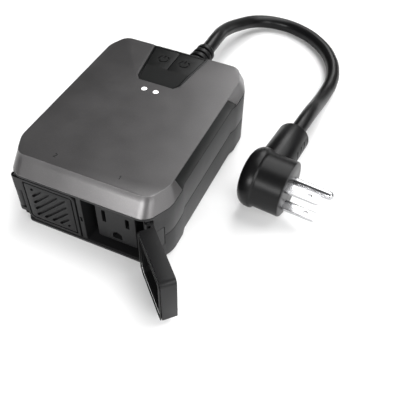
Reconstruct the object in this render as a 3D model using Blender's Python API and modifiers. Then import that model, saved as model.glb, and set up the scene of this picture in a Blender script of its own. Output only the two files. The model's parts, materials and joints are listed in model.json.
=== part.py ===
"""Outdoor smart plug with two switched outlets, modelled as its separate pieces.

Units are metres and Z points up. X runs across the front, Y runs from the front to the
rear, where the cord leaves, and the origin is the centre of the flat underside. Places in
the housing are often given as a depth, which is the distance behind the front plane.
"""
import math

import bmesh
import bpy
from mathutils import Vector

# ---------------------------------------------------------------- driving dimensions
BODY_WIDTH = 0.085
BODY_LENGTH = 0.119
BODY_HEIGHT = 0.043
WALL = 0.0022
GAP = 0.0003

# plan shape of the housing at its widest level
CORNER_CUT_X = 0.0066
CORNER_CUT_Y = 0.0135
CORNER_ROUND_END = 0.008
CORNER_ROUND_SIDE = 0.016
ARC_STEPS = 4

# levels of the housing
EDGE_CHAMFER = 0.0008
PARTING_Z = 0.0165
BAND_HEIGHT = 0.0091
BAND_LOW_Z = BODY_HEIGHT - BAND_HEIGHT

# sloping band around the top face
BAND_RUN_SIDE = 0.0027
BAND_RUN_END = 0.0063
TOP_CUT_X = 0.0048
TOP_CUT_Y = 0.0107
TOP_THICKNESS = 0.0020

# shallow recess along each side
RECESS_DEPTH = 0.0011
RECESS_RAMP = 0.0042
RECESS_START = 0.0248
RECESS_END = BODY_LENGTH - 0.0259
RECESS_TOP_START = 0.0220
RECESS_TOP_END = BODY_LENGTH - 0.0340
TRIM_TOP_DROP = 0.0008
TRIM_THICKNESS = 0.0030

# the room inside the housing, with thick corners for the screws
CAVITY_CUT_X = 0.0132
CAVITY_CUT_Y = 0.0193
FLOOR = 0.0022
SEAL_SIZE = 0.0012

# corner screws
SCREW_RADIUS = 0.0015
SCREW_HEAD_RADIUS = 0.0024
SCREW_HEAD_HEIGHT = 0.0013
SCREW_INSET_X = 0.0052
SCREW_INSET_Y = 0.0120
SCREW_TOP_Z = BAND_LOW_Z - 0.0059

# the covers' hinge axes
HINGE_X = BODY_WIDTH / 2 - 0.0065
HINGE_DEPTH = 0.0022

# the frame in the front with its two outlet bays
BEZEL_HALF_WIDTH = HINGE_X - 0.0014
BEZEL_LOW_Z = 0.0022
BEZEL_HIGH_Z = BAND_LOW_Z - 0.0012
BEZEL_FRONT = 0.0006
BEZEL_SIDE_FRONT = 0.0025
BEZEL_WALL = 0.0014
BAY_BACK = 0.0200
BEZEL_BACK = 0.0220
POST_HALF_WIDTH = 0.0013
LIP = 0.0006

# outlets
OUTLET_X = (BEZEL_HALF_WIDTH - BEZEL_WALL + POST_HALF_WIDTH) / 2
OUTLET_WIDTH = 0.0216
OUTLET_LOW_Z = BEZEL_LOW_Z + 0.0034
OUTLET_HIGH_Z = BEZEL_HIGH_Z - 0.0039
OUTLET_FRONT = 0.0037
SLOT_Z = (OUTLET_LOW_Z + OUTLET_HIGH_Z) / 2 + 0.0047
SLOT_PITCH = 0.0127
GROUND_DROP = 0.0119
SLOT_WIDTH = 0.0021
NEUTRAL_SLOT = 0.0083
HOT_SLOT = 0.0066
GROUND_RADIUS = 0.0026
POCKET_FRONT = 0.0070
POCKET_WIDTH = 0.0050
CONTACT_LEAF = 0.0006
CONTACT_HEIGHT = 0.0060
CONTACT_TAIL_END = 0.0250

# outlet covers and their hinges
KNUCKLE_RADIUS = 0.0019
PIN_RADIUS = 0.0008
COVER_DEPTH = 0.0074
COVER_WALL = 0.0015
COVER_LOW_Z = BEZEL_LOW_Z + LIP + GAP
COVER_HIGH_Z = BEZEL_HIGH_Z - LIP - GAP
COVER_ROOT = 0.0034
COVER_CHAMFER_X = 0.0065
COVER_CHAMFER_Z = 0.0046
COVER_ROUND = 0.0030
COVER_OPEN_ANGLE = 135.0
SWEEP_CLEARANCE = 0.0006
KEEPER_LOW_Z = COVER_LOW_Z + 0.0072
KEEPER_HIGH_Z = COVER_HIGH_Z - 0.0091
KEEPER_REACH_X = 0.0042
KEEPER_REACH_Y = 0.0090
GRILLE_BORDER = 0.0022
GRILLE_THICKNESS = 0.0008
GRILLE_SLOTS = 9
GRILLE_PITCH = 0.0032
GRILLE_SLOT_WIDTH = 0.0014
GASKET_THICKNESS = 0.0006

# buttons in the rear of the top face
PAD_FRONT = BODY_LENGTH - 0.0378
PAD_CORNER = BODY_LENGTH - 0.0345
PAD_REAR = BODY_LENGTH - 0.0035
PAD_HALF_FRONT = 0.0100
PAD_HALF_CORNER = 0.0124
PAD_HALF_REAR = 0.0170
PAD_LOW_Z = BODY_HEIGHT - 0.0042
PAD_FLOOR_Z = BODY_HEIGHT - 0.0028
PAD_SINK = 0.0004
BUTTON_FRONT = BODY_LENGTH - 0.0242
BUTTON_REAR = BODY_LENGTH - 0.0072
BUTTON_SIDE_MARGIN = 0.0012
BUTTON_SINK = 0.0002
BUTTON_TRAVEL = 0.0006
BUTTON_THICKNESS = 0.0014
STEM_RADIUS = 0.0015
STEM_X = 0.0063
STEM_DEPTH = BODY_LENGTH - 0.0156
STEM_LOW_Z = PAD_LOW_Z - 0.0004
FACET_DROP = 0.0012

# lights
LIGHT_X = 0.0034
LIGHT_DEPTH = BODY_LENGTH - 0.0446
LIGHT_RADIUS = 0.0015
LIGHT_PIPE_LENGTH = 0.0060

# boards and parts inside
BOARD_THICKNESS = 0.0016
MAIN_BOARD_Z = 0.0105
MAIN_BOARD_HALF_WIDTH = BODY_WIDTH / 2 - 0.0105
MAIN_BOARD_FRONT = 0.0300
MAIN_BOARD_REAR = BODY_LENGTH - 0.0150
TERMINAL_REAR = MAIN_BOARD_REAR - 0.0050
BUTTON_BOARD_Z = BODY_HEIGHT - 0.0120
MEMBRANE_THICKNESS = 0.0007

# strain relief and cord
RELIEF_Z = 0.0210
RELIEF_NECK_RADIUS = 0.0070
RELIEF_FLANGE_RADIUS = 0.0090
RELIEF_FLANGE = 0.0022
RELIEF_LENGTH = 0.0310
RELIEF_TIP_RADIUS = 0.0056
RELIEF_BASE_RADIUS = 0.0076
RELIEF_RIBS = 5
CORD_DIAMETER = 0.0086
CORD_POINTS = 19

CORD_REST_Z = CORD_DIAMETER / 2 + GAP

# plug: the centre of its face, and its own sizes behind that face
PLUG_FACE_X = 0.0846
PLUG_FACE_Y = BODY_LENGTH / 2 - 0.0567
PLUG_TURN = -5.5
PLUG_RADIUS = 0.0150
PLUG_BACK_RADIUS = 0.0163
PLUG_BODY_LENGTH = 0.0145
PLUG_LENGTH = 0.0240
COLLAR_BACK = 0.0144
COLLAR_RADIUS = 0.0092
COLLAR_END = 0.0392
BLADE_LENGTH = 0.0175
BLADE_WIDTH = 0.0063
BLADE_THICKNESS = 0.0015
BLADE_PITCH = SLOT_PITCH
BLADE_ROOT = 0.0060
BLADE_LINE = -0.0052
GROUND_PIN_OFFSET = GROUND_DROP
GROUND_PIN_RADIUS = 0.0024
GROUND_PIN_LENGTH = 0.0215

TURN_STEPS = 24
FRONT = -BODY_LENGTH / 2
HALF_WIDTH = BODY_WIDTH / 2
HINGE_Y = FRONT + HINGE_DEPTH
CENTRE_Z = PLUG_BACK_RADIUS


def behind(depth):
    """Y of a place that is this far behind the front plane."""
    return FRONT + depth


def beyond(distance):
    """Y of a place that is this far behind the rear plane."""
    return BODY_LENGTH / 2 + distance


# The cord's middle line from the strain relief to the plug's collar, as chosen points.
CORD_ROUTE = [
    (0.0000, beyond(0.0313), 0.0210),
    (0.0000, beyond(0.0385), 0.0210),
    (-0.0003, beyond(0.0475), 0.0204),
    (-0.0011, beyond(0.0610), 0.0175),
    (0.0020, beyond(0.0817), 0.0118),
    (0.0114, beyond(0.1005), 0.0066),
    (0.0248, beyond(0.1066), 0.0048),
    (0.0415, beyond(0.1042), CORD_REST_Z),
    (0.0579, beyond(0.0944), CORD_REST_Z),
    (0.0696, beyond(0.0803), CORD_REST_Z),
    (0.0753, beyond(0.0666), CORD_REST_Z),
    (0.0772, beyond(0.0539), 0.0048),
    (0.0770, beyond(0.0414), 0.0058),
    (0.0765, beyond(0.0258), 0.0092),
    (0.0760, beyond(0.0094), 0.0142),
    (0.0753, beyond(-0.0029), 0.0162),
    (0.0741, beyond(-0.0159), 0.0163),
]


# ---------------------------------------------------------------- scene set-up
for old in list(bpy.data.objects):
    bpy.data.objects.remove(old, do_unlink=True)

PARTS = bpy.data.collections.new("outdoor_smart_plug")
CUTTERS = bpy.data.collections.new("cutters")
bpy.context.scene.collection.children.link(PARTS)
bpy.context.scene.collection.children.link(CUTTERS)


def finish(name, colour, roughness, metallic=0.0):
    """A Principled material in one colour."""
    material = bpy.data.materials.new(name)
    material.use_nodes = True
    shader = material.node_tree.nodes["Principled BSDF"]
    shader.inputs["Base Color"].default_value = (*colour, 1.0)
    shader.inputs["Roughness"].default_value = roughness
    shader.inputs["Metallic"].default_value = metallic
    return material


SHELL_BLACK = finish("shell_plastic", (0.055, 0.055, 0.057), 0.45)
COVER_BLACK = finish("cover_plastic", (0.040, 0.040, 0.042), 0.50)
GUNMETAL = finish("gunmetal_paint", (0.105, 0.100, 0.102), 0.35, 0.6)
TRIM_BLACK = finish("trim_plastic", (0.025, 0.027, 0.026), 0.40)
OUTLET_BLACK = finish("outlet_plastic", (0.035, 0.035, 0.036), 0.45)
RUBBER = finish("seal_rubber", (0.015, 0.015, 0.015), 0.80)
CORD_BLACK = finish("cord_vinyl", (0.012, 0.012, 0.013), 0.35)
NICKEL = finish("nickel_plate", (0.72, 0.72, 0.73), 0.20, 1.0)
BRASS = finish("contact_brass", (0.62, 0.47, 0.22), 0.30, 1.0)
STEEL = finish("screw_steel", (0.45, 0.45, 0.46), 0.30, 1.0)
LENS_WHITE = finish("light_pipe", (0.90, 0.90, 0.92), 0.15)
BOARD_GREEN = finish("board_laminate", (0.02, 0.14, 0.06), 0.45)
PART_GREY = finish("component_case", (0.10, 0.11, 0.13), 0.50)
RELAY_BLUE = finish("relay_case", (0.02, 0.06, 0.25), 0.40)
WIRE_BLACK = finish("hot_wire_jacket", (0.020, 0.020, 0.020), 0.50)
WIRE_WHITE = finish("neutral_wire_jacket", (0.80, 0.80, 0.78), 0.50)
WIRE_GREEN = finish("ground_wire_jacket", (0.05, 0.30, 0.08), 0.50)


# ---------------------------------------------------------------- modelling helpers
def shade(obj):
    obj.data.shade_smooth()
    obj.data.set_sharp_from_angle(angle=math.radians(32.0))


def place(obj, name, material):
    """Name a finished sub-part and put it in the parts collection."""
    obj.name = name
    obj.data.name = name
    obj.data.materials.clear()
    obj.data.materials.append(material)
    for collection in list(obj.users_collection):
        collection.objects.unlink(obj)
    PARTS.objects.link(obj)
    shade(obj)
    return obj


def as_cutter(obj, name):
    """Hide a shape that only cuts or joins."""
    obj.name = name
    for collection in list(obj.users_collection):
        collection.objects.unlink(obj)
    CUTTERS.objects.link(obj)
    obj.hide_render = True
    obj.display_type = "WIRE"
    return obj


def box(low, high):
    """A box between two corners, with its origin at the world's."""
    middle = [(a + b) / 2 for a, b in zip(low, high)]
    bpy.ops.mesh.primitive_cube_add(size=1.0, location=middle)
    obj = bpy.context.object
    obj.scale = [b - a for a, b in zip(low, high)]
    bpy.ops.object.transform_apply(location=True, rotation=False, scale=True)
    return obj


def cylinder(radius, start, length, axis="Z", sides=TURN_STEPS):
    """A round bar from a start point along an axis."""
    step = {"X": (1, 0, 0), "Y": (0, 1, 0), "Z": (0, 0, 1)}[axis]
    turn = {"X": (0, math.pi / 2, 0), "Y": (math.pi / 2, 0, 0), "Z": (0, 0, 0)}[axis]
    middle = [a + s * length / 2 for a, s in zip(start, step)]
    bpy.ops.mesh.primitive_cylinder_add(
        vertices=sides, radius=radius, depth=length, location=middle, rotation=turn
    )
    return bpy.context.object


def mesh_from_curve(curve_obj):
    """Turn a curve object into a welded mesh object in the same place."""
    bpy.context.view_layer.update()
    graph = bpy.context.evaluated_depsgraph_get()
    mesh = bpy.data.meshes.new_from_object(curve_obj.evaluated_get(graph))
    shape = bmesh.new()
    shape.from_mesh(mesh)
    bmesh.ops.remove_doubles(shape, verts=shape.verts, dist=0.000005)
    bmesh.ops.recalc_face_normals(shape, faces=shape.faces)
    shape.to_mesh(mesh)
    shape.free()
    obj = bpy.data.objects.new(curve_obj.name, mesh)
    bpy.context.scene.collection.objects.link(obj)
    obj.matrix_world = curve_obj.matrix_world
    bpy.data.objects.remove(curve_obj, do_unlink=True)
    return obj


def plate(outlines, low_z, high_z):
    """A flat piece from closed outlines in plan. Inner outlines are holes."""
    curve = bpy.data.curves.new("plate", "CURVE")
    curve.dimensions = "2D"
    curve.fill_mode = "BOTH"
    curve.extrude = (high_z - low_z) / 2
    for outline in outlines:
        spline = curve.splines.new("POLY")
        spline.points.add(len(outline) - 1)
        for point, (x, y) in zip(spline.points, outline):
            point.co = (x, y, 0.0, 1.0)
        spline.use_cyclic_u = True
    obj = bpy.data.objects.new("plate", curve)
    bpy.context.scene.collection.objects.link(obj)
    obj.location.z = (low_z + high_z) / 2
    return mesh_from_curve(obj)


def upright_plate(outlines, front_y, back_y):
    """A flat piece whose outlines are given as (x, z), between two Y values."""
    obj = plate(outlines, -back_y, -front_y)
    obj.location = (0.0, (front_y + back_y) / 2, 0.0)
    obj.rotation_euler = (math.pi / 2, 0.0, 0.0)
    return obj


def tube(points, radius, resolution=2):
    """A round tube along points, as a curve with filled ends."""
    curve = bpy.data.curves.new("tube", "CURVE")
    curve.dimensions = "3D"
    curve.bevel_depth = radius
    curve.bevel_resolution = resolution
    curve.use_fill_caps = True
    spline = curve.splines.new("POLY")
    spline.points.add(len(points) - 1)
    for point, place_at in zip(spline.points, points):
        point.co = (*place_at, 1.0)
    obj = bpy.data.objects.new("tube", curve)
    bpy.context.scene.collection.objects.link(obj)
    return mesh_from_curve(obj)


def turned(profile, steps=TURN_STEPS):
    """A solid turned about its own Z axis. The profile runs from its top to its bottom."""
    mesh = bpy.data.meshes.new("turned")
    edges = [(i, i + 1) for i in range(len(profile) - 1)]
    mesh.from_pydata([(radius, 0.0, height) for radius, height in profile], edges, [])
    obj = bpy.data.objects.new("turned", mesh)
    bpy.context.scene.collection.objects.link(obj)
    screw = obj.modifiers.new("turn", "SCREW")
    screw.steps = steps
    screw.render_steps = steps
    screw.use_merge_vertices = True
    screw.merge_threshold = 0.00001
    return obj


def loft(sections):
    """A closed solid through plan outlines that all have the same number of points."""
    shape = bmesh.new()
    rings = []
    for outline, height in sections:
        rings.append([shape.verts.new((x, y, height)) for x, y in outline])
    count = len(rings[0])
    for lower, upper in zip(rings, rings[1:]):
        for i in range(count):
            j = (i + 1) % count
            shape.faces.new((lower[i], lower[j], upper[j], upper[i]))
    shape.faces.new(list(reversed(rings[0])))
    shape.faces.new(rings[-1])
    bmesh.ops.recalc_face_normals(shape, faces=shape.faces)
    mesh = bpy.data.meshes.new("loft")
    shape.to_mesh(mesh)
    shape.free()
    obj = bpy.data.objects.new("loft", mesh)
    bpy.context.scene.collection.objects.link(obj)
    return obj


def combine(obj, other, operation, name):
    """Cut with, or join, another shape through a Boolean modifier."""
    as_cutter(other, name)
    step = obj.modifiers.new(name, "BOOLEAN")
    step.operation = operation
    step.object = other
    step.solver = "EXACT"


def cut(obj, other, name):
    combine(obj, other, "DIFFERENCE", name)


def join(obj, other, name):
    combine(obj, other, "UNION", name)


def fillet(before, corner, after, radius, steps):
    """Points of an arc of this radius that rounds one corner of an outline."""
    back = (before - corner).normalized()
    ahead = (after - corner).normalized()
    half = back.angle(ahead) / 2
    reach = radius / math.tan(half)
    centre = corner + (back + ahead).normalized() * radius / math.sin(half)
    first = corner + back * reach - centre
    last = corner + ahead * reach - centre
    sweep = first.angle_signed(last)
    points = []
    for i in range(steps + 1):
        turn = -sweep * i / steps
        x = first.x * math.cos(turn) - first.y * math.sin(turn)
        y = first.x * math.sin(turn) + first.y * math.cos(turn)
        points.append((centre.x + x, centre.y + y))
    return points


def rounded(corners, steps=ARC_STEPS):
    """A closed outline from corners given as (x, y, radius)."""
    outline = []
    count = len(corners)
    for i, (x, y, radius) in enumerate(corners):
        if radius == 0.0:
            outline.append((x, y))
            continue
        before = Vector(corners[i - 1][:2])
        after = Vector(corners[(i + 1) % count][:2])
        outline += fillet(before, Vector((x, y)), after, radius, steps)
    return outline


def smooth_path(route, count):
    """Evenly spaced points on a Catmull-Rom curve through a route."""
    points = [Vector(p) for p in route]
    points = [2 * points[0] - points[1]] + points + [2 * points[-1] - points[-2]]
    fine = []
    for i in range(1, len(points) - 2):
        a, b, c, d = points[i - 1:i + 3]
        for k in range(12):
            t = k / 12
            fine.append(0.5 * (2 * b + (c - a) * t + (2 * a - 5 * b + 4 * c - d) * t ** 2
                               + (3 * b - a - 3 * c + d) * t ** 3))
    fine.append(points[-2])
    lengths = [0.0]
    for p, q in zip(fine, fine[1:]):
        lengths.append(lengths[-1] + (q - p).length)
    path = []
    for k in range(count):
        want = lengths[-1] * k / (count - 1)
        i = min(max(j for j, run in enumerate(lengths) if run <= want + 1e-9), len(fine) - 2)
        share = (want - lengths[i]) / (lengths[i + 1] - lengths[i])
        path.append(fine[i].lerp(fine[i + 1], share))
    return path


# ---------------------------------------------------------------- housing outlines
def half_plan(half_x, half_y, cut_x, cut_y, inset, start, end, ramp):
    """Corners along the right side and the rear right corner, from front to rear."""
    return [
        (half_x, start, 0.0),
        (half_x - inset, start + ramp, 0.0),
        (half_x - inset, end - ramp, 0.0),
        (half_x, end, 0.0),
        (half_x, half_y - cut_y, CORNER_ROUND_SIDE),
        (half_x - cut_x, half_y, CORNER_ROUND_END),
    ]


def body_outline(shrink=0.0):
    """The housing's plan at its widest, with the recess in each side."""
    half_x = HALF_WIDTH - shrink
    half_y = BODY_LENGTH / 2 - shrink
    right = half_plan(half_x, half_y, CORNER_CUT_X, CORNER_CUT_Y, RECESS_DEPTH,
                      behind(RECESS_START), behind(RECESS_END), RECESS_RAMP)
    front_right = [
        (half_x - CORNER_CUT_X, -half_y, CORNER_ROUND_END),
        (half_x, -half_y + CORNER_CUT_Y, CORNER_ROUND_SIDE),
    ]
    side = front_right + right
    mirrored = [(-x, y, r) for x, y, r in reversed(side)]
    return rounded(side + mirrored)


def plain_outline(half_x, half_y, cut_x, cut_y, round_end, round_side):
    """A plan with the housing's corners and straight sides."""
    side = [
        (half_x - cut_x, -half_y, round_end),
        (half_x, -half_y + cut_y, round_side),
        (half_x, half_y - cut_y, round_side),
        (half_x - cut_x, half_y, round_end),
    ]
    mirrored = [(-x, y, r) for x, y, r in reversed(side)]
    return rounded(side + mirrored)


def cavity_outline(margin=0.0, front=None):
    """Plan of the room inside, with its cut corners. A margin makes it larger."""
    half_x = HALF_WIDTH - RECESS_DEPTH - WALL + margin
    rear = BODY_LENGTH / 2 - WALL + margin
    front = -rear if front is None else front
    side = [
        (half_x - CAVITY_CUT_X, front),
        (half_x, front + CAVITY_CUT_Y),
        (half_x, rear - CAVITY_CUT_Y),
        (half_x - CAVITY_CUT_X, rear),
    ]
    return side + [(-x, y) for x, y in reversed(side)]


# ---------------------------------------------------------------- shapes cut from the shells
def front_opening():
    """The window in both shells that the front frame fills."""
    return box((-BEZEL_HALF_WIDTH - GAP, FRONT - 0.001, BEZEL_LOW_Z - GAP),
               (BEZEL_HALF_WIDTH + GAP, behind(BEZEL_BACK) + GAP, BEZEL_HIGH_Z + GAP))


def keeper_pocket(side, gap):
    """The space of one hinge keeper in a front corner."""
    near = BEZEL_HALF_WIDTH + 2 * GAP - gap
    far = HINGE_X + KEEPER_REACH_X + gap
    xs = sorted((side * near, side * far))
    return box((xs[0], FRONT - 0.001, KEEPER_LOW_Z - gap),
               (xs[1], behind(KEEPER_REACH_Y) + gap, KEEPER_HIGH_Z + gap))


def knuckle_clearance(side):
    """Room around a hinge axis for the cover's knuckles."""
    low = COVER_LOW_Z + COVER_CHAMFER_Z - 2 * SWEEP_CLEARANCE
    height = COVER_HIGH_Z + SWEEP_CLEARANCE - low
    return cylinder(KNUCKLE_RADIUS + SWEEP_CLEARANCE, (side * HINGE_X, HINGE_Y, low), height)


def corner_wedge(side):
    """A block that takes the lower front corner off the housing."""
    points = [Vector((side * (HALF_WIDTH - 0.0110), FRONT, 0.0)),
              Vector((side * (HALF_WIDTH - 0.0040), behind(0.0040), 0.0075)),
              Vector((side * (HALF_WIDTH - 0.0030), behind(0.0100), 0.0))]
    normal = (points[1] - points[0]).cross(points[2] - points[0]).normalized()
    if normal.x * side < 0:
        normal = -normal
    size = 0.02
    bpy.ops.mesh.primitive_cube_add(size=size, location=points[0] + normal * size / 2)
    obj = bpy.context.object
    obj.rotation_euler = normal.to_track_quat("Z", "Y").to_euler()
    return obj


def screw_places():
    for x in (-1, 1):
        for y in (-1, 1):
            yield (x * (HALF_WIDTH - SCREW_INSET_X), y * (BODY_LENGTH / 2 - SCREW_INSET_Y))


def cut_shared_openings(shell, label):
    """Cut what both shells share: front window, hinges, screws and cord hole."""
    cut(shell, front_opening(), label + "_window")
    for side in (-1, 1):
        hand = "left" if side < 0 else "right"
        cut(shell, keeper_pocket(side, GAP), f"{label}_{hand}_pocket")
        cut(shell, knuckle_clearance(side), f"{label}_{hand}_sweep")
    for i, (x, y) in enumerate(screw_places()):
        hole = cylinder(SCREW_RADIUS + GAP, (x, y, -0.001), SCREW_TOP_Z + 0.002, sides=12)
        cut(shell, hole, f"{label}_screw_hole_{i + 1}")
    hole = cylinder(RELIEF_NECK_RADIUS + GAP, (0.0, BODY_LENGTH / 2 - 0.006, RELIEF_Z), 0.009, "Y")
    cut(shell, hole, label + "_cord_hole")


# ---------------------------------------------------------------- housing
def make_lower_shell():
    shell = loft([
        (body_outline(EDGE_CHAMFER), 0.0),
        (body_outline(), EDGE_CHAMFER),
        (body_outline(), PARTING_Z - GAP / 2),
    ])
    room = plate([cavity_outline()], FLOOR, PARTING_Z + 0.01)
    cut(shell, room, "lower_room")
    rebate = plate([cavity_outline(SEAL_SIZE / 2 + GAP)],
                   PARTING_Z - SEAL_SIZE - 1.5 * GAP, PARTING_Z + 0.01)
    cut(shell, rebate, "seal_rebate")
    cut_shared_openings(shell, "lower")
    for side in (-1, 1):
        cut(shell, corner_wedge(side), "left_wedge" if side < 0 else "right_wedge")
    for i, (x, y) in enumerate(screw_places()):
        head = cylinder(SCREW_HEAD_RADIUS + GAP, (x, y, -0.001),
                        0.001 + EDGE_CHAMFER + SCREW_HEAD_HEIGHT + GAP, sides=16)
        cut(shell, head, f"head_pocket_{i + 1}")
    for i, (x, y) in enumerate(board_posts()):
        post = cylinder(0.0025, (x, y, FLOOR / 2), MAIN_BOARD_Z - GAP - FLOOR / 2, sides=12)
        join(shell, post, f"board_post_{i + 1}")
    place(shell, "lower_shell", SHELL_BLACK)


def board_posts():
    """Where the main board rests on posts of the lower shell."""
    inset = 0.005
    for x in (-MAIN_BOARD_HALF_WIDTH + inset, MAIN_BOARD_HALF_WIDTH - inset):
        for depth in (MAIN_BOARD_FRONT + inset, MAIN_BOARD_REAR - 3 * inset):
            yield x, behind(depth)


def make_upper_shell():
    shell = loft([
        (body_outline(), PARTING_Z + GAP / 2),
        (body_outline(), BAND_LOW_Z - GAP),
    ])
    room = plate([cavity_outline()], PARTING_Z - 0.01, BAND_LOW_Z + 0.01)
    cut(shell, room, "upper_room")
    cut_shared_openings(shell, "upper")
    place(shell, "upper_shell", SHELL_BLACK)


def trim_outline(side, level, gap):
    """Plan of a side trim at the band's lower edge (level 0) or near its top (level 1)."""
    half_x = HALF_WIDTH - BAND_RUN_SIDE * level
    start = behind(RECESS_START + (RECESS_TOP_START - RECESS_START) * level) - gap
    end = behind(RECESS_END + (RECESS_TOP_END - RECESS_END) * level) + gap
    inset = RECESS_DEPTH * (1.0 - level)
    inner = HALF_WIDTH - BAND_RUN_SIDE - TRIM_THICKNESS - gap
    ramp = RECESS_RAMP * (1.0 - 0.8 * level)
    outer = half_x + (0.003 if gap else 0.0)
    points = [(inner, start), (outer, start)]
    if not gap:
        points += [(half_x - inset, start + ramp), (half_x - inset, end - ramp)]
    points += [(outer, end), (inner, end)]
    points = [(side * x, y) for x, y in points]
    return points if side > 0 else list(reversed(points))


def make_top_cover():
    low = plain_outline(HALF_WIDTH, BODY_LENGTH / 2, CORNER_CUT_X, CORNER_CUT_Y,
                        CORNER_ROUND_END, CORNER_ROUND_SIDE)
    half_x = HALF_WIDTH - BAND_RUN_SIDE
    half_y = BODY_LENGTH / 2 - BAND_RUN_END
    high = plain_outline(half_x, half_y, TOP_CUT_X, TOP_CUT_Y, CORNER_ROUND_END * 0.8,
                         CORNER_ROUND_SIDE * 0.8)
    cover = loft([(low, BAND_LOW_Z), (high, BODY_HEIGHT)])
    inner_x = half_x - TRIM_THICKNESS - WALL
    room = plate([[(inner_x, -half_y + 0.012), (inner_x - 0.008, -half_y + WALL),
                   (-inner_x + 0.008, -half_y + WALL), (-inner_x, -half_y + 0.012),
                   (-inner_x, half_y - 0.012), (-inner_x + 0.008, half_y - WALL),
                   (inner_x - 0.008, half_y - WALL), (inner_x, half_y - 0.012)]],
                 BAND_LOW_Z - 0.005, BODY_HEIGHT - TOP_THICKNESS)
    cut(cover, room, "cover_room")
    trim_top = BODY_HEIGHT - TRIM_TOP_DROP
    for side in (-1, 1):
        label = "left" if side < 0 else "right"
        pocket = loft([
            (trim_outline(side, 0.0, GAP), BAND_LOW_Z - 0.004),
            (trim_outline(side, 0.0, GAP), BAND_LOW_Z),
            (trim_outline(side, 1.0, GAP), trim_top + GAP),
        ])
        cut(cover, pocket, label + "_trim_pocket")
        hole = cylinder(LIGHT_RADIUS + GAP, (side * LIGHT_X, behind(LIGHT_DEPTH), BODY_HEIGHT - 0.007),
                        0.01,
                        sides=16)
        cut(cover, hole, label + "_light_hole")
    window = plate([pad_outline(GAP, BODY_LENGTH + 0.002)], PAD_LOW_Z - GAP, BODY_HEIGHT + 0.002)
    cut(cover, window, "pad_window")
    place(cover, "top_cover", GUNMETAL)
    for side in (-1, 1):
        trim = loft([
            (trim_outline(side, 0.0, 0.0), BAND_LOW_Z),
            (trim_outline(side, 1.0, 0.0), trim_top),
        ])
        place(trim, "left_side_trim" if side < 0 else "right_side_trim", TRIM_BLACK)


def make_seals():
    """The seal between the shells, in two strips from the front frame to the cord's hole."""
    for side in (-1, 1):
        label = "left" if side < 0 else "right"
        outer = cavity_outline(SEAL_SIZE / 2)
        inner = cavity_outline(-SEAL_SIZE / 2)
        seal = plate([outer, inner], PARTING_Z - SEAL_SIZE - GAP / 2, PARTING_Z - GAP / 2)
        front = box((-HALF_WIDTH, FRONT - 0.001, 0.0),
                    (HALF_WIDTH, behind(BEZEL_BACK) + 2 * GAP, BODY_HEIGHT))
        cut(seal, front, label + "_seal_front")
        xs = sorted((-side * HALF_WIDTH, side * (RELIEF_FLANGE_RADIUS + GAP)))
        other = box((xs[0], FRONT, 0.0), (xs[1], -FRONT, BODY_HEIGHT))
        cut(seal, other, label + "_seal_end")
        place(seal, label + "_housing_seal", RUBBER)


def make_screws():
    for i, (x, y) in enumerate(screw_places()):
        head_low = EDGE_CHAMFER
        screw = turned([
            (0.0, SCREW_TOP_Z - GAP),
            (SCREW_RADIUS, SCREW_TOP_Z - GAP - 0.001),
            (SCREW_RADIUS, head_low + SCREW_HEAD_HEIGHT),
            (SCREW_HEAD_RADIUS, head_low + SCREW_HEAD_HEIGHT),
            (SCREW_HEAD_RADIUS, head_low + 0.0004),
            (SCREW_HEAD_RADIUS - 0.0004, head_low),
            (0.0, head_low),
        ], 12)
        screw.location = (x, y, 0.0)
        for turn in (0, 1):
            slot = box((-0.0014, -0.00035, 0.0), (0.0014, 0.00035, 0.0010))
            slot.location = (x, y, head_low)
            slot.rotation_euler = (0.0, 0.0, turn * math.pi / 2)
            cut(screw, slot, f"drive_slot_{i + 1}_{turn + 1}")
        place(screw, f"housing_screw_{i + 1}", STEEL)


# ---------------------------------------------------------------- front frame and outlets
def make_bezel():
    bezel = box((-BEZEL_HALF_WIDTH, behind(BEZEL_FRONT), BEZEL_LOW_Z),
                (BEZEL_HALF_WIDTH, behind(BEZEL_BACK), BEZEL_HIGH_Z))
    for side in (-1, 1):
        label = "left" if side < 0 else "right"
        xs = sorted((side * POST_HALF_WIDTH, side * (BEZEL_HALF_WIDTH - BEZEL_WALL)))
        bay = box((xs[0], FRONT - 0.001, BEZEL_LOW_Z + LIP),
                  (xs[1], behind(BAY_BACK), BEZEL_HIGH_Z - LIP))
        cut(bezel, bay, label + "_bay")
        xs = sorted((side * (BEZEL_HALF_WIDTH - 2 * BEZEL_WALL), side * (HALF_WIDTH + 0.01)))
        step = box((xs[0], FRONT - 0.001, BEZEL_LOW_Z - 0.001),
                   (xs[1], behind(BEZEL_SIDE_FRONT), BEZEL_HIGH_Z + 0.001))
        cut(bezel, step, label + "_plate_step")
        cut(bezel, knuckle_clearance(side), label + "_frame_sweep")
        for kind, x, z, height in contact_places(side):
            tail = box((x - 0.0016, behind(BAY_BACK) - 0.001, z - height / 2 - 0.0005),
                       (x + 0.0016, behind(BEZEL_BACK) + 0.001, z + height / 2 + 0.0005))
            cut(bezel, tail, f"{label}_{kind}_tail_hole")
    place(bezel, "front_frame", COVER_BLACK)


def contact_places(side):
    """Kind, X, Z and height of the three contacts of one outlet."""
    x = side * OUTLET_X
    yield "neutral", x - SLOT_PITCH / 2, SLOT_Z, CONTACT_HEIGHT
    yield "hot", x + SLOT_PITCH / 2, SLOT_Z, CONTACT_HEIGHT - 0.001
    yield "ground", x, SLOT_Z - GROUND_DROP, CONTACT_HEIGHT - 0.002


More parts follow.
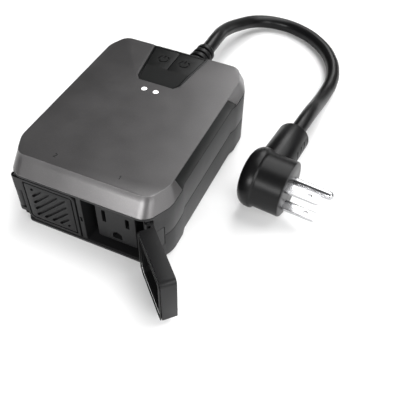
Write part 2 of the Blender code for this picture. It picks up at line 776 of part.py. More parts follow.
def make_outlet(side):
    label = "left" if side < 0 else "right"
    x = side * OUTLET_X
    front = behind(OUTLET_FRONT)
    back = behind(BAY_BACK) - GAP
    outlet = box((x - OUTLET_WIDTH / 2, front, OUTLET_LOW_Z),
                 (x + OUTLET_WIDTH / 2, back, OUTLET_HIGH_Z))
    for kind, place_x, height in (("neutral", x - SLOT_PITCH / 2, NEUTRAL_SLOT),
                                  ("hot", x + SLOT_PITCH / 2, HOT_SLOT)):
        slot = box((place_x - SLOT_WIDTH / 2, front - 0.001, SLOT_Z - height / 2),
                   (place_x + SLOT_WIDTH / 2, behind(POCKET_FRONT) + 0.001, SLOT_Z + height / 2))
        cut(outlet, slot, f"{label}_{kind}_slot")
        pocket = box((place_x - POCKET_WIDTH / 2, behind(POCKET_FRONT), SLOT_Z - height / 2 - 0.0006),
                     (place_x + POCKET_WIDTH / 2, back + 0.001, SLOT_Z + height / 2 + 0.0006))
        cut(outlet, pocket, f"{label}_{kind}_pocket")
    ground_z = SLOT_Z - GROUND_DROP
    opening = [(x + GROUND_RADIUS * math.cos(a), ground_z + GROUND_RADIUS * math.sin(a))
               for a in [math.pi * i / 10 for i in range(11)]]
    opening += [(x - GROUND_RADIUS, ground_z - 0.0021), (x + GROUND_RADIUS, ground_z - 0.0021)]
    hole = upright_plate([opening], front - 0.001, behind(POCKET_FRONT) + 0.001)
    cut(outlet, hole, f"{label}_ground_hole")
    pocket = box((x - 0.0031, behind(POCKET_FRONT), ground_z - 0.0031),
                 (x + 0.0031, back + 0.001, ground_z + 0.0031))
    cut(outlet, pocket, f"{label}_ground_pocket")
    place(outlet, f"{label}_outlet", OUTLET_BLACK)
    for kind, place_x, z, height in contact_places(side):
        half = 0.0024 if kind == "ground" else 0.0018
        leaf = CONTACT_LEAF
        start = behind(POCKET_FRONT + 0.001)
        base = behind(BAY_BACK - 0.0018)
        tail = behind(CONTACT_TAIL_END)
        outline = [(-half, start), (-half + leaf, start), (-half + leaf, base - leaf),
                   (half - leaf, base - leaf), (half - leaf, start), (half, start),
                   (half, base), (leaf / 2 + 0.0003, base), (leaf / 2 + 0.0003, tail),
                   (-leaf / 2 - 0.0003, tail), (-leaf / 2 - 0.0003, base), (-half, base)]
        outline = [(place_x + px, py) for px, py in outline]
        contact = plate([outline], z - height / 2, z + height / 2)
        place(contact, f"{label}_{kind}_contact", BRASS)


# ---------------------------------------------------------------- outlet covers
def cover_free_end():
    """How far a cover reaches from its hinge axis, so that its rim passes the post."""
    room = HINGE_X - POST_HALF_WIDTH - GAP
    inner = COVER_DEPTH - KNUCKLE_RADIUS
    return math.sqrt(room ** 2 - inner ** 2)


def cover_outline(margin=0.0, root=COVER_ROOT):
    """A cover's face as (distance from the hinge axis, z). A margin shrinks it."""
    end = cover_free_end() - margin
    low = COVER_LOW_Z + margin
    high = COVER_HIGH_Z - margin
    slope = COVER_CHAMFER_Z / COVER_CHAMFER_X
    rise = COVER_LOW_Z + COVER_CHAMFER_Z - slope * (root + margin) + margin * 1.2
    foot = COVER_CHAMFER_X - (margin - margin * 1.2) / slope
    radius = max(COVER_ROUND - margin, 0.0008)
    return rounded([
        (root + margin, max(rise, low + 0.0001), 0.0),
        (foot, low, 0.0),
        (end, low, 0.0010 if margin == 0.0 else 0.0004),
        (end, high, radius),
        (root + margin, high, 0.0),
    ], 3)


def hinge_frame(side, angle):
    """An empty on a hinge axis. Its X runs along the cover and its -Y faces out."""
    empty = bpy.data.objects.new("left_hinge_axis" if side < 0 else "right_hinge_axis", None)
    PARTS.objects.link(empty)
    empty.location = (side * HINGE_X, HINGE_Y, 0.0)
    empty.rotation_euler = (0.0, 0.0, math.radians(angle))
    return empty


def hang(obj, empty):
    obj.parent = empty


def flat_on_cover(outlines, side, front, back):
    """An upright plate in a hinge's frame. Distances from the axis run to the free end."""
    handed = []
    for outline in outlines:
        points = [(-side * s, z) for s, z in outline]
        handed.append(points)
    return upright_plate(handed, front, back)


def cover_box(side, s_range, y_range, z_range):
    xs = sorted((-side * s_range[0], -side * s_range[1]))
    return box((xs[0], y_range[0], z_range[0]), (xs[1], y_range[1], z_range[1]))


def grille_outline(extra):
    """Outline of the slotted insert in a cover's face."""
    return cover_outline(GRILLE_BORDER - extra)


def slot_shapes():
    """Centres, lengths and widths of the diagonal slots, from corner to corner."""
    width = cover_free_end() - COVER_ROOT - 2 * GRILLE_BORDER
    height = COVER_HIGH_Z - COVER_LOW_Z - 2 * GRILLE_BORDER
    middle = (COVER_ROOT + GRILLE_BORDER + width / 2, COVER_LOW_Z + GRILLE_BORDER + height / 2)
    half = (GRILLE_SLOTS - 1) / 2
    reach = min(width, height) / 2 - 0.0030
    for i in range(GRILLE_SLOTS):
        offset = (i - half) * GRILLE_PITCH
        length = 2 * max(math.sqrt(2) * reach - abs(offset), 0.0)
        if length > GRILLE_SLOT_WIDTH:
            yield middle, offset, length


def cut_slots(grille, side, label, hinge):
    """Cut the diagonal slots, which rise to the right on both covers."""
    for i, (middle, offset, length) in enumerate(slot_shapes()):
        across = offset / math.sqrt(2)
        x = -side * middle[0] + across
        z = middle[1] - across
        slot = box((-length / 2, -0.002, -GRILLE_SLOT_WIDTH / 2),
                   (length / 2, 0.002, GRILLE_SLOT_WIDTH / 2))
        slot.location = (x, -KNUCKLE_RADIUS, z)
        slot.rotation_euler = (0.0, -math.pi / 4, 0.0)
        hang(slot, hinge)
        cut(grille, slot, f"{label}_slot_{i + 1}")


def make_cover(side, angle):
    label = "left" if side < 0 else "right"
    hinge = hinge_frame(side, angle)
    outer = -KNUCKLE_RADIUS
    inner = outer + COVER_DEPTH
    cover = flat_on_cover([cover_outline()], side, outer, inner)
    hang(cover, hinge)
    pieces = []
    hollow = flat_on_cover([cover_outline(COVER_WALL)], side, outer + 2 * COVER_WALL, inner + 0.002)
    pieces.append((hollow, "DIFFERENCE", "hollow"))
    leaf = cover_box(side, (0.0, COVER_ROOT + 0.0005), (outer, outer + COVER_WALL),
                     (COVER_LOW_Z + COVER_CHAMFER_Z, COVER_HIGH_Z))
    pieces.append((leaf, "UNION", "leaf"))
    knuckle = cylinder(KNUCKLE_RADIUS, (0.0, 0.0, COVER_LOW_Z + COVER_CHAMFER_Z),
                       COVER_HIGH_Z - COVER_LOW_Z - COVER_CHAMFER_Z, sides=16)
    pieces.append((knuckle, "UNION", "knuckle"))
    notch = cover_box(side, (-0.004, COVER_ROOT - GAP), (-0.004, 0.004),
                      (KEEPER_LOW_Z - GAP, KEEPER_HIGH_Z + GAP))
    pieces.append((notch, "DIFFERENCE", "notch"))
    bore = cylinder(PIN_RADIUS + GAP, (0.0, 0.0, COVER_LOW_Z), COVER_HIGH_Z, sides=12)
    pieces.append((bore, "DIFFERENCE", "bore"))
    seat = flat_on_cover([grille_outline(GAP)], side, outer - 0.001, outer + GRILLE_THICKNESS + GAP)
    pieces.append((seat, "DIFFERENCE", "grille_seat"))
    rib_top = behind(OUTLET_FRONT) - HINGE_Y - GAP
    for i, share in enumerate((0.30, 0.62)):
        s = COVER_ROOT + share * (cover_free_end() - COVER_ROOT)
        rib = cover_box(side, (s, s + 0.0008), (outer + COVER_WALL, rib_top - 0.0002),
                        (COVER_LOW_Z + COVER_WALL / 2, COVER_HIGH_Z - COVER_WALL / 2))
        pieces.append((rib, "UNION", f"rib_{i + 1}"))
    for shape, operation, name in pieces:
        hang(shape, hinge)
        combine(cover, shape, operation, f"{label}_cover_{name}")
    place(cover, f"{label}_cover", COVER_BLACK)

    grille = flat_on_cover([grille_outline(0.0)], side, outer, outer + GRILLE_THICKNESS)
    hang(grille, hinge)
    cut_slots(grille, side, label, hinge)
    place(grille, f"{label}_cover_grille", COVER_BLACK)

    gasket = flat_on_cover([cover_outline(0.0003), cover_outline(COVER_WALL - 0.0003)], side,
                           inner + GAP, inner + GAP + GASKET_THICKNESS)
    hang(gasket, hinge)
    place(gasket, f"{label}_cover_gasket", RUBBER)


def make_hinge(side):
    label = "left" if side < 0 else "right"
    low = COVER_LOW_Z + COVER_CHAMFER_Z + GAP
    pin = cylinder(PIN_RADIUS, (side * HINGE_X, HINGE_Y, low), COVER_HIGH_Z - low - GAP, sides=12)
    place(pin, f"{label}_hinge_pin", STEEL)
    keeper = loft([
        (plain_outline(HALF_WIDTH, BODY_LENGTH / 2, CORNER_CUT_X, CORNER_CUT_Y,
                       CORNER_ROUND_END, CORNER_ROUND_SIDE), KEEPER_LOW_Z - 0.002),
        (plain_outline(HALF_WIDTH, BODY_LENGTH / 2, CORNER_CUT_X, CORNER_CUT_Y,
                       CORNER_ROUND_END, CORNER_ROUND_SIDE), KEEPER_HIGH_Z + 0.002),
    ])
    combine(keeper, keeper_pocket(side, 0.0), "INTERSECT", f"{label}_keeper_block")
    boss = cylinder(KNUCKLE_RADIUS - 0.0001, (side * HINGE_X, HINGE_Y, KEEPER_LOW_Z),
                    KEEPER_HIGH_Z - KEEPER_LOW_Z, sides=16)
    join(keeper, boss, f"{label}_keeper_boss")
    bore = cylinder(PIN_RADIUS + GAP, (side * HINGE_X, HINGE_Y, 0.0), BODY_HEIGHT, sides=12)
    cut(keeper, bore, f"{label}_keeper_bore")
    place(keeper, f"{label}_hinge_keeper", SHELL_BLACK)


# ---------------------------------------------------------------- buttons and lights
def pad_half_width(depth):
    """Half the width of the button pad at a depth behind its rounded front."""
    share = (depth - PAD_CORNER) / (PAD_REAR - PAD_CORNER)
    return PAD_HALF_CORNER + (PAD_HALF_REAR - PAD_HALF_CORNER) * share


def pad_outline(margin, rear):
    """Plan of the button pad's frame, a trapezoid that widens to the rear."""
    side = [
        (PAD_HALF_FRONT + margin, behind(PAD_FRONT - margin)),
        (PAD_HALF_CORNER + margin, behind(PAD_CORNER - margin)),
        (pad_half_width(rear) + margin, behind(rear)),
    ]
    return side + [(-x, y) for x, y in reversed(side)]


def button_outline(side, margin):
    """Plan of one button. A margin makes it larger."""
    edge = BUTTON_SIDE_MARGIN
    points = [
        (GAP / 2 - margin if margin == 0.0 else -0.001, behind(BUTTON_FRONT) - margin),
        (pad_half_width(BUTTON_FRONT) - edge + margin, behind(BUTTON_FRONT) - margin),
        (pad_half_width(BUTTON_REAR) - edge + margin, behind(BUTTON_REAR) + margin),
        (GAP / 2 - margin if margin == 0.0 else -0.001, behind(BUTTON_REAR) + margin),
    ]
    points = [(side * x, y) for x, y in points]
    return points if side > 0 else list(reversed(points))


def make_buttons():
    top = BODY_HEIGHT - PAD_SINK
    frame = plate([pad_outline(0.0, PAD_REAR)], PAD_LOW_Z, top)
    facet = box((-0.03, -0.02, 0.0), (0.03, 0.0, 0.01))
    facet.location = (0.0, behind(BUTTON_FRONT) - 2 * GAP, top)
    facet.rotation_euler = (math.atan2(FACET_DROP, BUTTON_FRONT - PAD_FRONT), 0.0, 0.0)
    cut(frame, facet, "pad_facet")
    slope = box((-0.03, 0.0, 0.0), (0.03, 0.02, 0.02))
    slope.location = (0.0, behind(BUTTON_REAR) + 0.0012, top)
    slope.rotation_euler = (-math.atan2(BODY_HEIGHT - BAND_LOW_Z, BAND_RUN_END), 0.0, 0.0)
    cut(frame, slope, "pad_rear_slope")
    for side in (-1, 1):
        label = "left" if side < 0 else "right"
        pocket = plate([button_outline(side, GAP)], PAD_FLOOR_Z, BODY_HEIGHT + 0.001)
        cut(frame, pocket, label + "_button_pocket")
        hole = cylinder(STEM_RADIUS + GAP, (side * STEM_X, behind(STEM_DEPTH), PAD_LOW_Z - 0.001),
                        0.01, sides=16)
        cut(frame, hole, label + "_stem_hole")
    place(frame, "button_frame", TRIM_BLACK)
    for side in (-1, 1):
        label = "left" if side < 0 else "right"
        button = plate([button_outline(side, 0.0)], top - BUTTON_SINK - BUTTON_THICKNESS,
                       top - BUTTON_SINK)
        stem = cylinder(STEM_RADIUS, (side * STEM_X, behind(STEM_DEPTH), STEM_LOW_Z),
                        top - BUTTON_SINK - 0.0005 - STEM_LOW_Z, sides=16)
        join(button, stem, label + "_button_stem")
        place(button, label + "_button", TRIM_BLACK)


def make_button_board():
    front = STEM_DEPTH - 0.0135
    rear = STEM_DEPTH + 0.0050
    half = PAD_HALF_CORNER + 0.0010
    board = box((-half, behind(LIGHT_DEPTH - 0.004), BUTTON_BOARD_Z),
                (half, behind(rear), BUTTON_BOARD_Z + BOARD_THICKNESS))
    place(board, "button_board", BOARD_GREEN)
    membrane_low = STEM_LOW_Z - BUTTON_TRAVEL - 0.0003 - MEMBRANE_THICKNESS
    membrane = box((-half + 0.001, behind(front + 0.004), membrane_low),
                   (half - 0.001, behind(rear - 0.0005), membrane_low + MEMBRANE_THICKNESS))
    place(membrane, "button_membrane", RUBBER)
    board_top = BUTTON_BOARD_Z + BOARD_THICKNESS + GAP
    for side in (-1, 1):
        label = "left" if side < 0 else "right"
        x = side * STEM_X
        y = behind(STEM_DEPTH)
        switch = box((x - 0.003, y - 0.003, board_top), (x + 0.003, y + 0.003, board_top + 0.0022))
        knob = cylinder(0.0016, (x, y, board_top + 0.001), membrane_low - GAP - board_top - 0.001,
                        sides=12)
        join(switch, knob, label + "_switch_knob")
        place(switch, label + "_switch", PART_GREY)
        x = side * LIGHT_X
        y = behind(LIGHT_DEPTH)
        pipe_low = BODY_HEIGHT - LIGHT_PIPE_LENGTH
        pipe = cylinder(LIGHT_RADIUS, (x, y, pipe_low), LIGHT_PIPE_LENGTH, sides=16)
        place(pipe, label + "_light_pipe", LENS_WHITE)
        lamp = box((x - 0.0013, y - 0.0010, board_top), (x + 0.0013, y + 0.0010, board_top + 0.0010))
        place(lamp, label + "_led", LENS_WHITE)


# ---------------------------------------------------------------- inside the housing
def make_electronics():
    board = box((-MAIN_BOARD_HALF_WIDTH, behind(MAIN_BOARD_FRONT), MAIN_BOARD_Z),
                (MAIN_BOARD_HALF_WIDTH, behind(MAIN_BOARD_REAR), MAIN_BOARD_Z + BOARD_THICKNESS))
    place(board, "main_board", BOARD_GREEN)
    top = MAIN_BOARD_Z + BOARD_THICKNESS + GAP
    for side in (-1, 1):
        xs = sorted((side * 0.0080, side * 0.0235))
        relay = box((xs[0], behind(0.0340), top), (xs[1], behind(0.0530), top + 0.0155))
        place(relay, "left_relay" if side < 0 else "right_relay", RELAY_BLUE)
    transformer = box((0.0060, behind(0.0600), top), (0.0230, behind(0.0770), top + 0.0140))
    place(transformer, "power_transformer", PART_GREY)
    capacitor = cylinder(0.0050, (-0.0100, behind(0.0680), top), 0.0150)
    place(capacitor, "filter_capacitor", PART_GREY)
    module = box((-0.0300, behind(MAIN_BOARD_REAR - 0.0260), top),
                 (-0.0130, behind(MAIN_BOARD_REAR - 0.0040), top + 0.0030))
    place(module, "wireless_module", PART_GREY)
    fuse = cylinder(0.0026, (0.0150, behind(0.0820), top + 0.0027), 0.0140, "X", 16)
    place(fuse, "line_fuse", LENS_WHITE)
    terminal = box((-0.0090, behind(TERMINAL_REAR - 0.0090), top),
                   (0.0090, behind(TERMINAL_REAR), top + 0.0095))
    place(terminal, "terminal_block", PART_GREY)


def make_wires():
    """The cord's three wires between the strain relief and the terminal block."""
    start = BODY_LENGTH - WALL - GAP - RELIEF_FLANGE - GAP
    level = MAIN_BOARD_Z + BOARD_THICKNESS + 0.0055
    for i, (name, material) in enumerate((("neutral_wire", WIRE_WHITE), ("ground_wire", WIRE_GREEN),
                                          ("hot_wire", WIRE_BLACK))):
        spread = i - 1
        route = [
            (spread * 0.0034, behind(start), RELIEF_Z),
            (spread * 0.0040, behind(start - 0.004), RELIEF_Z - 0.0003),
            (spread * 0.0056, behind(start - 0.009), (RELIEF_Z + level) / 2),
            (spread * 0.0062, behind(TERMINAL_REAR) + 0.003, level + 0.0003),
            (spread * 0.0062, behind(TERMINAL_REAR) + GAP, level),
        ]
        wire = tube(smooth_path(route, 8), 0.0014)
        place(wire, name, material)


# ---------------------------------------------------------------- cord and plug
def make_relief():
    """The ribbed strain relief, turned about the cord's line at the rear."""
    wall_inner = BODY_LENGTH - WALL
    length = BODY_LENGTH + RELIEF_LENGTH
    profile = [(0.0, length), (RELIEF_TIP_RADIUS, length)]
    start = BODY_LENGTH + 0.0060
    pitch = (length - start) / RELIEF_RIBS
    for i in reversed(range(RELIEF_RIBS)):
        near = start + i * pitch
        share = (near - start) / (length - start)
        radius = RELIEF_BASE_RADIUS + (RELIEF_TIP_RADIUS - RELIEF_BASE_RADIUS) * share
        groove = radius - 0.0013
        profile += [(radius, near + pitch * 0.62), (radius, near + pitch * 0.10),
                    (groove, near), (groove, near - pitch * 0.22)]
    profile += [
        (RELIEF_BASE_RADIUS + 0.0004, start - pitch * 0.30),
        (RELIEF_BASE_RADIUS + 0.0004, BODY_LENGTH + GAP),
        (RELIEF_NECK_RADIUS, BODY_LENGTH + GAP),
        (RELIEF_NECK_RADIUS, wall_inner - GAP),
        (RELIEF_FLANGE_RADIUS, wall_inner - GAP),
        (RELIEF_FLANGE_RADIUS, wall_inner - GAP - RELIEF_FLANGE),
        (0.0, wall_inner - GAP - RELIEF_FLANGE),
    ]
    relief = turned(profile)
    relief.location = (0.0, FRONT, RELIEF_Z)
    relief.rotation_euler = (-math.pi / 2, 0.0, 0.0)
    place(relief, "strain_relief", RUBBER)


def make_cord():
    cord = tube(smooth_path(CORD_ROUTE, CORD_POINTS), CORD_DIAMETER / 2, 3)
    place(cord, "cord", CORD_BLACK)


def make_plug():
    """The right-angle plug on its side. In its own frame X points out of its face."""
    base = bpy.data.objects.new("plug_frame", None)
    PARTS.objects.link(base)
    base.location = (PLUG_FACE_X, PLUG_FACE_Y, CENTRE_Z)
    base.rotation_euler = (0.0, 0.0, math.radians(PLUG_TURN))
    edge = 0.0010
    back = PLUG_BACK_RADIUS
    profile = [(0.0, 0.0), (PLUG_RADIUS - edge, 0.0), (PLUG_RADIUS, -edge),
               (PLUG_RADIUS, -PLUG_BODY_LENGTH), (back, -PLUG_BODY_LENGTH - 0.0014)]
    depth = PLUG_LENGTH - PLUG_BODY_LENGTH - 0.0034
    for i in range(1, 6):
        turn = math.pi / 2 * i / 5
        profile.append((back - depth * (1 - math.cos(turn)),
                        -PLUG_LENGTH + depth - depth * math.sin(turn)))
    profile.append((0.0, -PLUG_LENGTH))
    body = turned(profile, 32)
    body.rotation_euler = (0.0, math.pi / 2, 0.0)
    body.parent = base
    collar = turned([(0.0, COLLAR_END), (COLLAR_RADIUS - 0.0012, COLLAR_END),
                     (COLLAR_RADIUS - 0.0002, COLLAR_END - 0.0010),
                     (COLLAR_RADIUS, COLLAR_END - 0.0200), (COLLAR_RADIUS, 0.0), (0.0, 0.0)])
    collar.location = (-COLLAR_BACK, 0.0, 0.0)
    collar.rotation_euler = (-math.pi / 2, 0.0, 0.0)
    collar.parent = base
    join(body, collar, "plug_collar")
    for sign, name in ((1, "plug_neutral_blade"), (-1, "plug_hot_blade")):
        z = sign * BLADE_PITCH / 2
        socket = box((-BLADE_ROOT - GAP, BLADE_LINE - BLADE_WIDTH / 2 - GAP,
                      z - BLADE_THICKNESS / 2 - GAP),
                     (0.002, BLADE_LINE + BLADE_WIDTH / 2 + GAP, z + BLADE_THICKNESS / 2 + GAP))
        socket.parent = base
        cut(body, socket, name + "_socket")
        half = BLADE_WIDTH / 2
        outline = rounded([(-BLADE_ROOT, -half, 0.0), (BLADE_LENGTH, -half, 0.0016),
                           (BLADE_LENGTH, half, 0.0016), (-BLADE_ROOT, half, 0.0)], 3)
        outline = [(x, y + BLADE_LINE) for x, y in outline]
        hole = [(BLADE_LENGTH - 0.0055 + 0.0016 * math.cos(a), BLADE_LINE + 0.0016 * math.sin(a))
                for a in [2 * math.pi * i / 14 for i in range(14)]]
        blade = plate([outline, hole], z - BLADE_THICKNESS / 2, z + BLADE_THICKNESS / 2)
        blade.parent = base
        place(blade, name, NICKEL)
    pin_y = BLADE_LINE + GROUND_PIN_OFFSET
    socket = cylinder(GROUND_PIN_RADIUS + GAP, (-BLADE_ROOT - GAP, pin_y, 0.0), BLADE_ROOT + 0.002,
                      "X", 20)
    socket.parent = base
    cut(body, socket, "ground_pin_socket")
    tip = GROUND_PIN_LENGTH
    radius = GROUND_PIN_RADIUS
    profile = [(radius * math.sin(a), tip - radius + radius * math.cos(a))
               for a in [math.pi / 2 * i / 5 for i in range(6)]]
    profile += [(radius, -BLADE_ROOT), (0.0, -BLADE_ROOT)]
    profile[0] = (0.0, tip)
    pin = turned(profile, 20)
    pin.location = (0.0, pin_y, 0.0)
    pin.rotation_euler = (0.0, math.pi / 2, 0.0)
    pin.parent = base
    place(pin, "plug_ground_pin", NICKEL)
    place(body, "plug_body", CORD_BLACK)


# ---------------------------------------------------------------- build
make_lower_shell()
make_upper_shell()
make_top_cover()
make_seals()
make_screws()
make_bezel()
for outlet_side in (-1, 1):
    make_outlet(outlet_side)
    make_hinge(outlet_side)
make_cover(-1, 0.0)
make_cover(1, COVER_OPEN_ANGLE)
make_buttons()
make_button_board()
make_electronics()
make_wires()
make_relief()
make_cord()
make_plug()
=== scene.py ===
"""Looks of the outdoor smart plug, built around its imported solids.

Units are metres in the part's own frame: X runs across the front with the outlets, Y runs from
the front to the rear, where the cord leaves, and Z points up from the flat underside. A place in
the housing is often given as a depth, the distance behind the front plane.
"""
import json
import math

import bmesh
import bpy
from mathutils import Matrix, Vector


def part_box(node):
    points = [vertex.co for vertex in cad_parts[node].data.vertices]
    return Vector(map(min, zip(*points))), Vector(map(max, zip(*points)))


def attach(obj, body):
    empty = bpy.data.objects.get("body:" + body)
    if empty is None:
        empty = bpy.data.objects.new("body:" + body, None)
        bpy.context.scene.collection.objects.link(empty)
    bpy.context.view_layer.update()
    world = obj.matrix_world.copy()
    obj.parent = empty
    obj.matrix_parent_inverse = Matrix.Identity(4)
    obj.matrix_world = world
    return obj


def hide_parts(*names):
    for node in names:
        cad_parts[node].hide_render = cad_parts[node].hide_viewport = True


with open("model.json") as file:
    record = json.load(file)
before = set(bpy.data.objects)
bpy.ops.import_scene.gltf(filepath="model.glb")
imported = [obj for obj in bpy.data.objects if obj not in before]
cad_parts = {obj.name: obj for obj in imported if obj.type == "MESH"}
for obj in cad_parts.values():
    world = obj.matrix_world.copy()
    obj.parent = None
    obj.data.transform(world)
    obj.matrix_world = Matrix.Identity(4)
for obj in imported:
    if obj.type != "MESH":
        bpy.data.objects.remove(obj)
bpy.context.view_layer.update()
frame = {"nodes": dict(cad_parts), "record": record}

bl_info = {
    "name": "Outdoor Smart Plug",
    "version": (1, 0, 0),
    "blender": (4, 5, 0),
    "location": "3D View > Sidebar > Smart Plug",
    "description": "Builds the visible pieces and finishes of an outdoor smart plug",
    "category": "Object",
}


def corners_of(node):
    """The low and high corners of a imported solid's box."""
    return [Vector(corner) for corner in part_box(node)]


# ---------------------------------------------------------------- places taken from the frame
LID_LOW, LID_HIGH = corners_of("top_cover")
BEZEL_LOW, BEZEL_HIGH = corners_of("front_frame")
COVER_LOW, COVER_HIGH = corners_of("left_cover")
OUTLET_LOW, OUTLET_HIGH = corners_of("right_outlet")
BUTTON_LOW, BUTTON_HIGH = corners_of("right_button")
PIN_LOW, PIN_HIGH = corners_of("right_hinge_pin")
LENS_LOW, LENS_HIGH = corners_of("right_light_pipe")

HALF_WIDTH = LID_HIGH.x
HALF_LENGTH = LID_HIGH.y
FRONT = -HALF_LENGTH
LENGTH = 2 * HALF_LENGTH
TOP = LID_HIGH.z
BAND_LOW = LID_LOW.z
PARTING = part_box("upper_shell")[0][2]
LOWER_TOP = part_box("lower_shell")[1][2]
HINGE_X = (PIN_LOW.x + PIN_HIGH.x) / 2
HINGE_Y = (PIN_LOW.y + PIN_HIGH.y) / 2
GAP = 0.0003

# ---------------------------------------------------------------- plan of the housing
CORNER_CUT = (0.0066, 0.0135)
TOP_CORNER_CUT = (0.0048, 0.0107)
CORNER_ROUND_END = 0.0080
CORNER_ROUND_SIDE = 0.0160
TOP_ROUND_SHARE = 0.8
BAND_RUN_SIDE = 0.0027
BAND_RUN_END = 0.0063
RECESS_DEPTH = 0.0011
RECESS_RAMP = 0.0042
RECESS_START = 0.0248
RECESS_END = LENGTH - 0.0259
RECESS_TOP_START = 0.0220
RECESS_TOP_END = LENGTH - 0.0340
TRIM_THICKNESS = 0.0030
TRIM_DROP = 0.0008
WALL = 0.0022

# ---------------------------------------------------------------- front, covers and outlets
BAY_DEPTH = 0.0200
BEZEL_WALL = 0.0014
POST_HALF = 0.0013
LIP = 0.0006
COVER_DEPTH = COVER_HIGH.y - COVER_LOW.y
KNUCKLE_RADIUS = 0.0019
COVER_ROOT = 0.0034
COVER_CHAMFER = (0.0065, 0.0046)
COVER_ROUND = 0.0030
COVER_WALL = 0.0015
GRILLE_BORDER = 0.0022
GRILLE_SLOTS = 9
GRILLE_PITCH = 0.0032
SLOT_PITCH = 0.0127
GROUND_DROP = 0.0119
SLOT_Z = (OUTLET_LOW.z + OUTLET_HIGH.z) / 2 + 0.0047
OUTLET_X = (OUTLET_LOW.x + OUTLET_HIGH.x) / 2
KEEPER_LOW, KEEPER_HIGH = corners_of("right_hinge_keeper")

# ---------------------------------------------------------------- buttons on the top
PAD_FRONT = LENGTH - 0.0378
PAD_CORNER = LENGTH - 0.0345
PAD_REAR = LENGTH - 0.0035
PAD_HALF = (0.0100, 0.0124, 0.0170)
PAD_LOW = TOP - 0.0042
PAD_TOP = TOP - 0.0004
BUTTON_FRONT = LENGTH - 0.0242
BUTTON_REAR = LENGTH - 0.0072
STEM = (0.0063, LENGTH - 0.0156)
PLATEAU_INSET = 0.0013

# ---------------------------------------------------------------- cord and plug
RELIEF_Z = 0.0210
CORD_REST = 0.0046
PLUG_FACE = Vector((0.0846, HALF_LENGTH - 0.0567, 0.0163))
PLUG_TURN = -5.5
PLUG_RADIUS = 0.0150
PLUG_BACK_RADIUS = 0.0163
PLUG_EDGE = 0.0009
PLUG_LENGTH = 0.0240
PLUG_BODY_LENGTH = 0.0145
COLLAR_BACK = 0.0144
COLLAR_RADIUS = 0.0092
COLLAR_END = 0.0392
BLADE_LINE = -0.0052
BLADE_HALF_WIDTH = 0.00315
BLADE_HALF_THICKNESS = 0.00075
BLADE_ROOT = 0.0060
BLADE_LENGTH = 0.0175
BLADE_HOLE = 0.0016
GROUND_PIN_RADIUS = 0.0024
GROUND_PIN_LENGTH = 0.0215
SOCKET_FIT = 0.00012


def behind(depth):
    """Y of a place that is this far behind the front plane."""
    return FRONT + depth


def beyond(distance):
    """Y of a place that is this far behind the rear plane."""
    return HALF_LENGTH + distance


# The cord's middle line from the strain relief to the plug's collar, as chosen points.
CORD_ROUTE = [
    (0.0000, beyond(0.0313), 0.0210),
    (0.0000, beyond(0.0385), 0.0210),
    (-0.0003, beyond(0.0475), 0.0204),
    (-0.0011, beyond(0.0610), 0.0175),
    (0.0020, beyond(0.0817), 0.0118),
    (0.0114, beyond(0.1005), 0.0066),
    (0.0248, beyond(0.1066), 0.0048),
    (0.0415, beyond(0.1042), CORD_REST),
    (0.0579, beyond(0.0944), CORD_REST),
    (0.0696, beyond(0.0803), CORD_REST),
    (0.0753, beyond(0.0666), CORD_REST),
    (0.0772, beyond(0.0539), 0.0048),
    (0.0770, beyond(0.0414), 0.0058),
    (0.0765, beyond(0.0258), 0.0092),
    (0.0760, beyond(0.0094), 0.0142),
    (0.0753, beyond(-0.0029), 0.0162),
    (0.0741, beyond(-0.0159), 0.0163),
]


# ---------------------------------------------------------------- settings a user can change
def colour_setting(name, description, default):
    return bpy.props.FloatVectorProperty(
        name=name, description=description, subtype="COLOR", size=3, min=0.0, max=1.0,
        default=default)


def length_setting(name, description, default):
    return bpy.props.FloatProperty(
        name=name, description=description, subtype="DISTANCE", unit="LENGTH", min=0.0,
        precision=5, default=default)


class SmartPlugSizes(bpy.types.PropertyGroup):
    """Sizes of the fine details."""

    edge_round: length_setting("Edge rounding", "Radius along the moulded edges", 0.00030)
    lid_edge: length_setting("Lid edge", "Width of the bright facet around the lid's top", 0.00045)
    grille_slot: length_setting("Grille slot", "Width of the slots in the covers", 0.0014)
    grille_groove: length_setting("Grille groove", "Width of the groove around a grille", 0.0007)
    symbol_radius: length_setting("Power symbol", "Radius of the ring on each button", 0.0028)
    symbol_line: length_setting("Symbol line", "Width of the engraved lines", 0.00065)
    cord_diameter: length_setting("Cord diameter", "Outer diameter of the cord", 0.0086)
    relief_ribs: bpy.props.IntProperty(
        name="Relief ribs", description="Ribs on the strain relief", min=2, max=8, default=5)


class SmartPlugColours(bpy.types.PropertyGroup):
    """Base colours of the finishes."""

    lid: colour_setting("Lid paint", "Satin gunmetal paint of the lid", (0.108, 0.105, 0.106))
    shell: colour_setting("Shell", "Dark grey moulded shells", (0.024, 0.024, 0.0245))
    trim: colour_setting("Trim", "Near-black side inlays and buttons", (0.0045, 0.0048, 0.0047))
    # The cover colour is the covers' own black. On the front frame it is partly painted shade:
    # darker than the frame itself so that the deep bays read black.
    cover: colour_setting("Cover", "Black outlet covers and front frame", (0.0065, 0.0065, 0.0068))
    outlet: colour_setting("Outlet", "Black outlet faces", (0.010, 0.010, 0.0103))
    cord: colour_setting("Cord", "Glossy black cord and plug", (0.0035, 0.0035, 0.0037))
    blade: colour_setting("Blades", "Bright nickel plating", (0.46, 0.46, 0.47))
    light: colour_setting("Lights", "White of the lit light pipes", (1.0, 1.0, 1.0))
    floor: colour_setting("Floor", "Pale studio floor", (0.92, 0.92, 0.92))


# ---------------------------------------------------------------- mesh helpers
def new_piece(name, mesh):
    piece = bpy.data.objects.new(name, mesh)
    mesh.name = name
    bpy.context.scene.collection.objects.link(piece)
    return piece


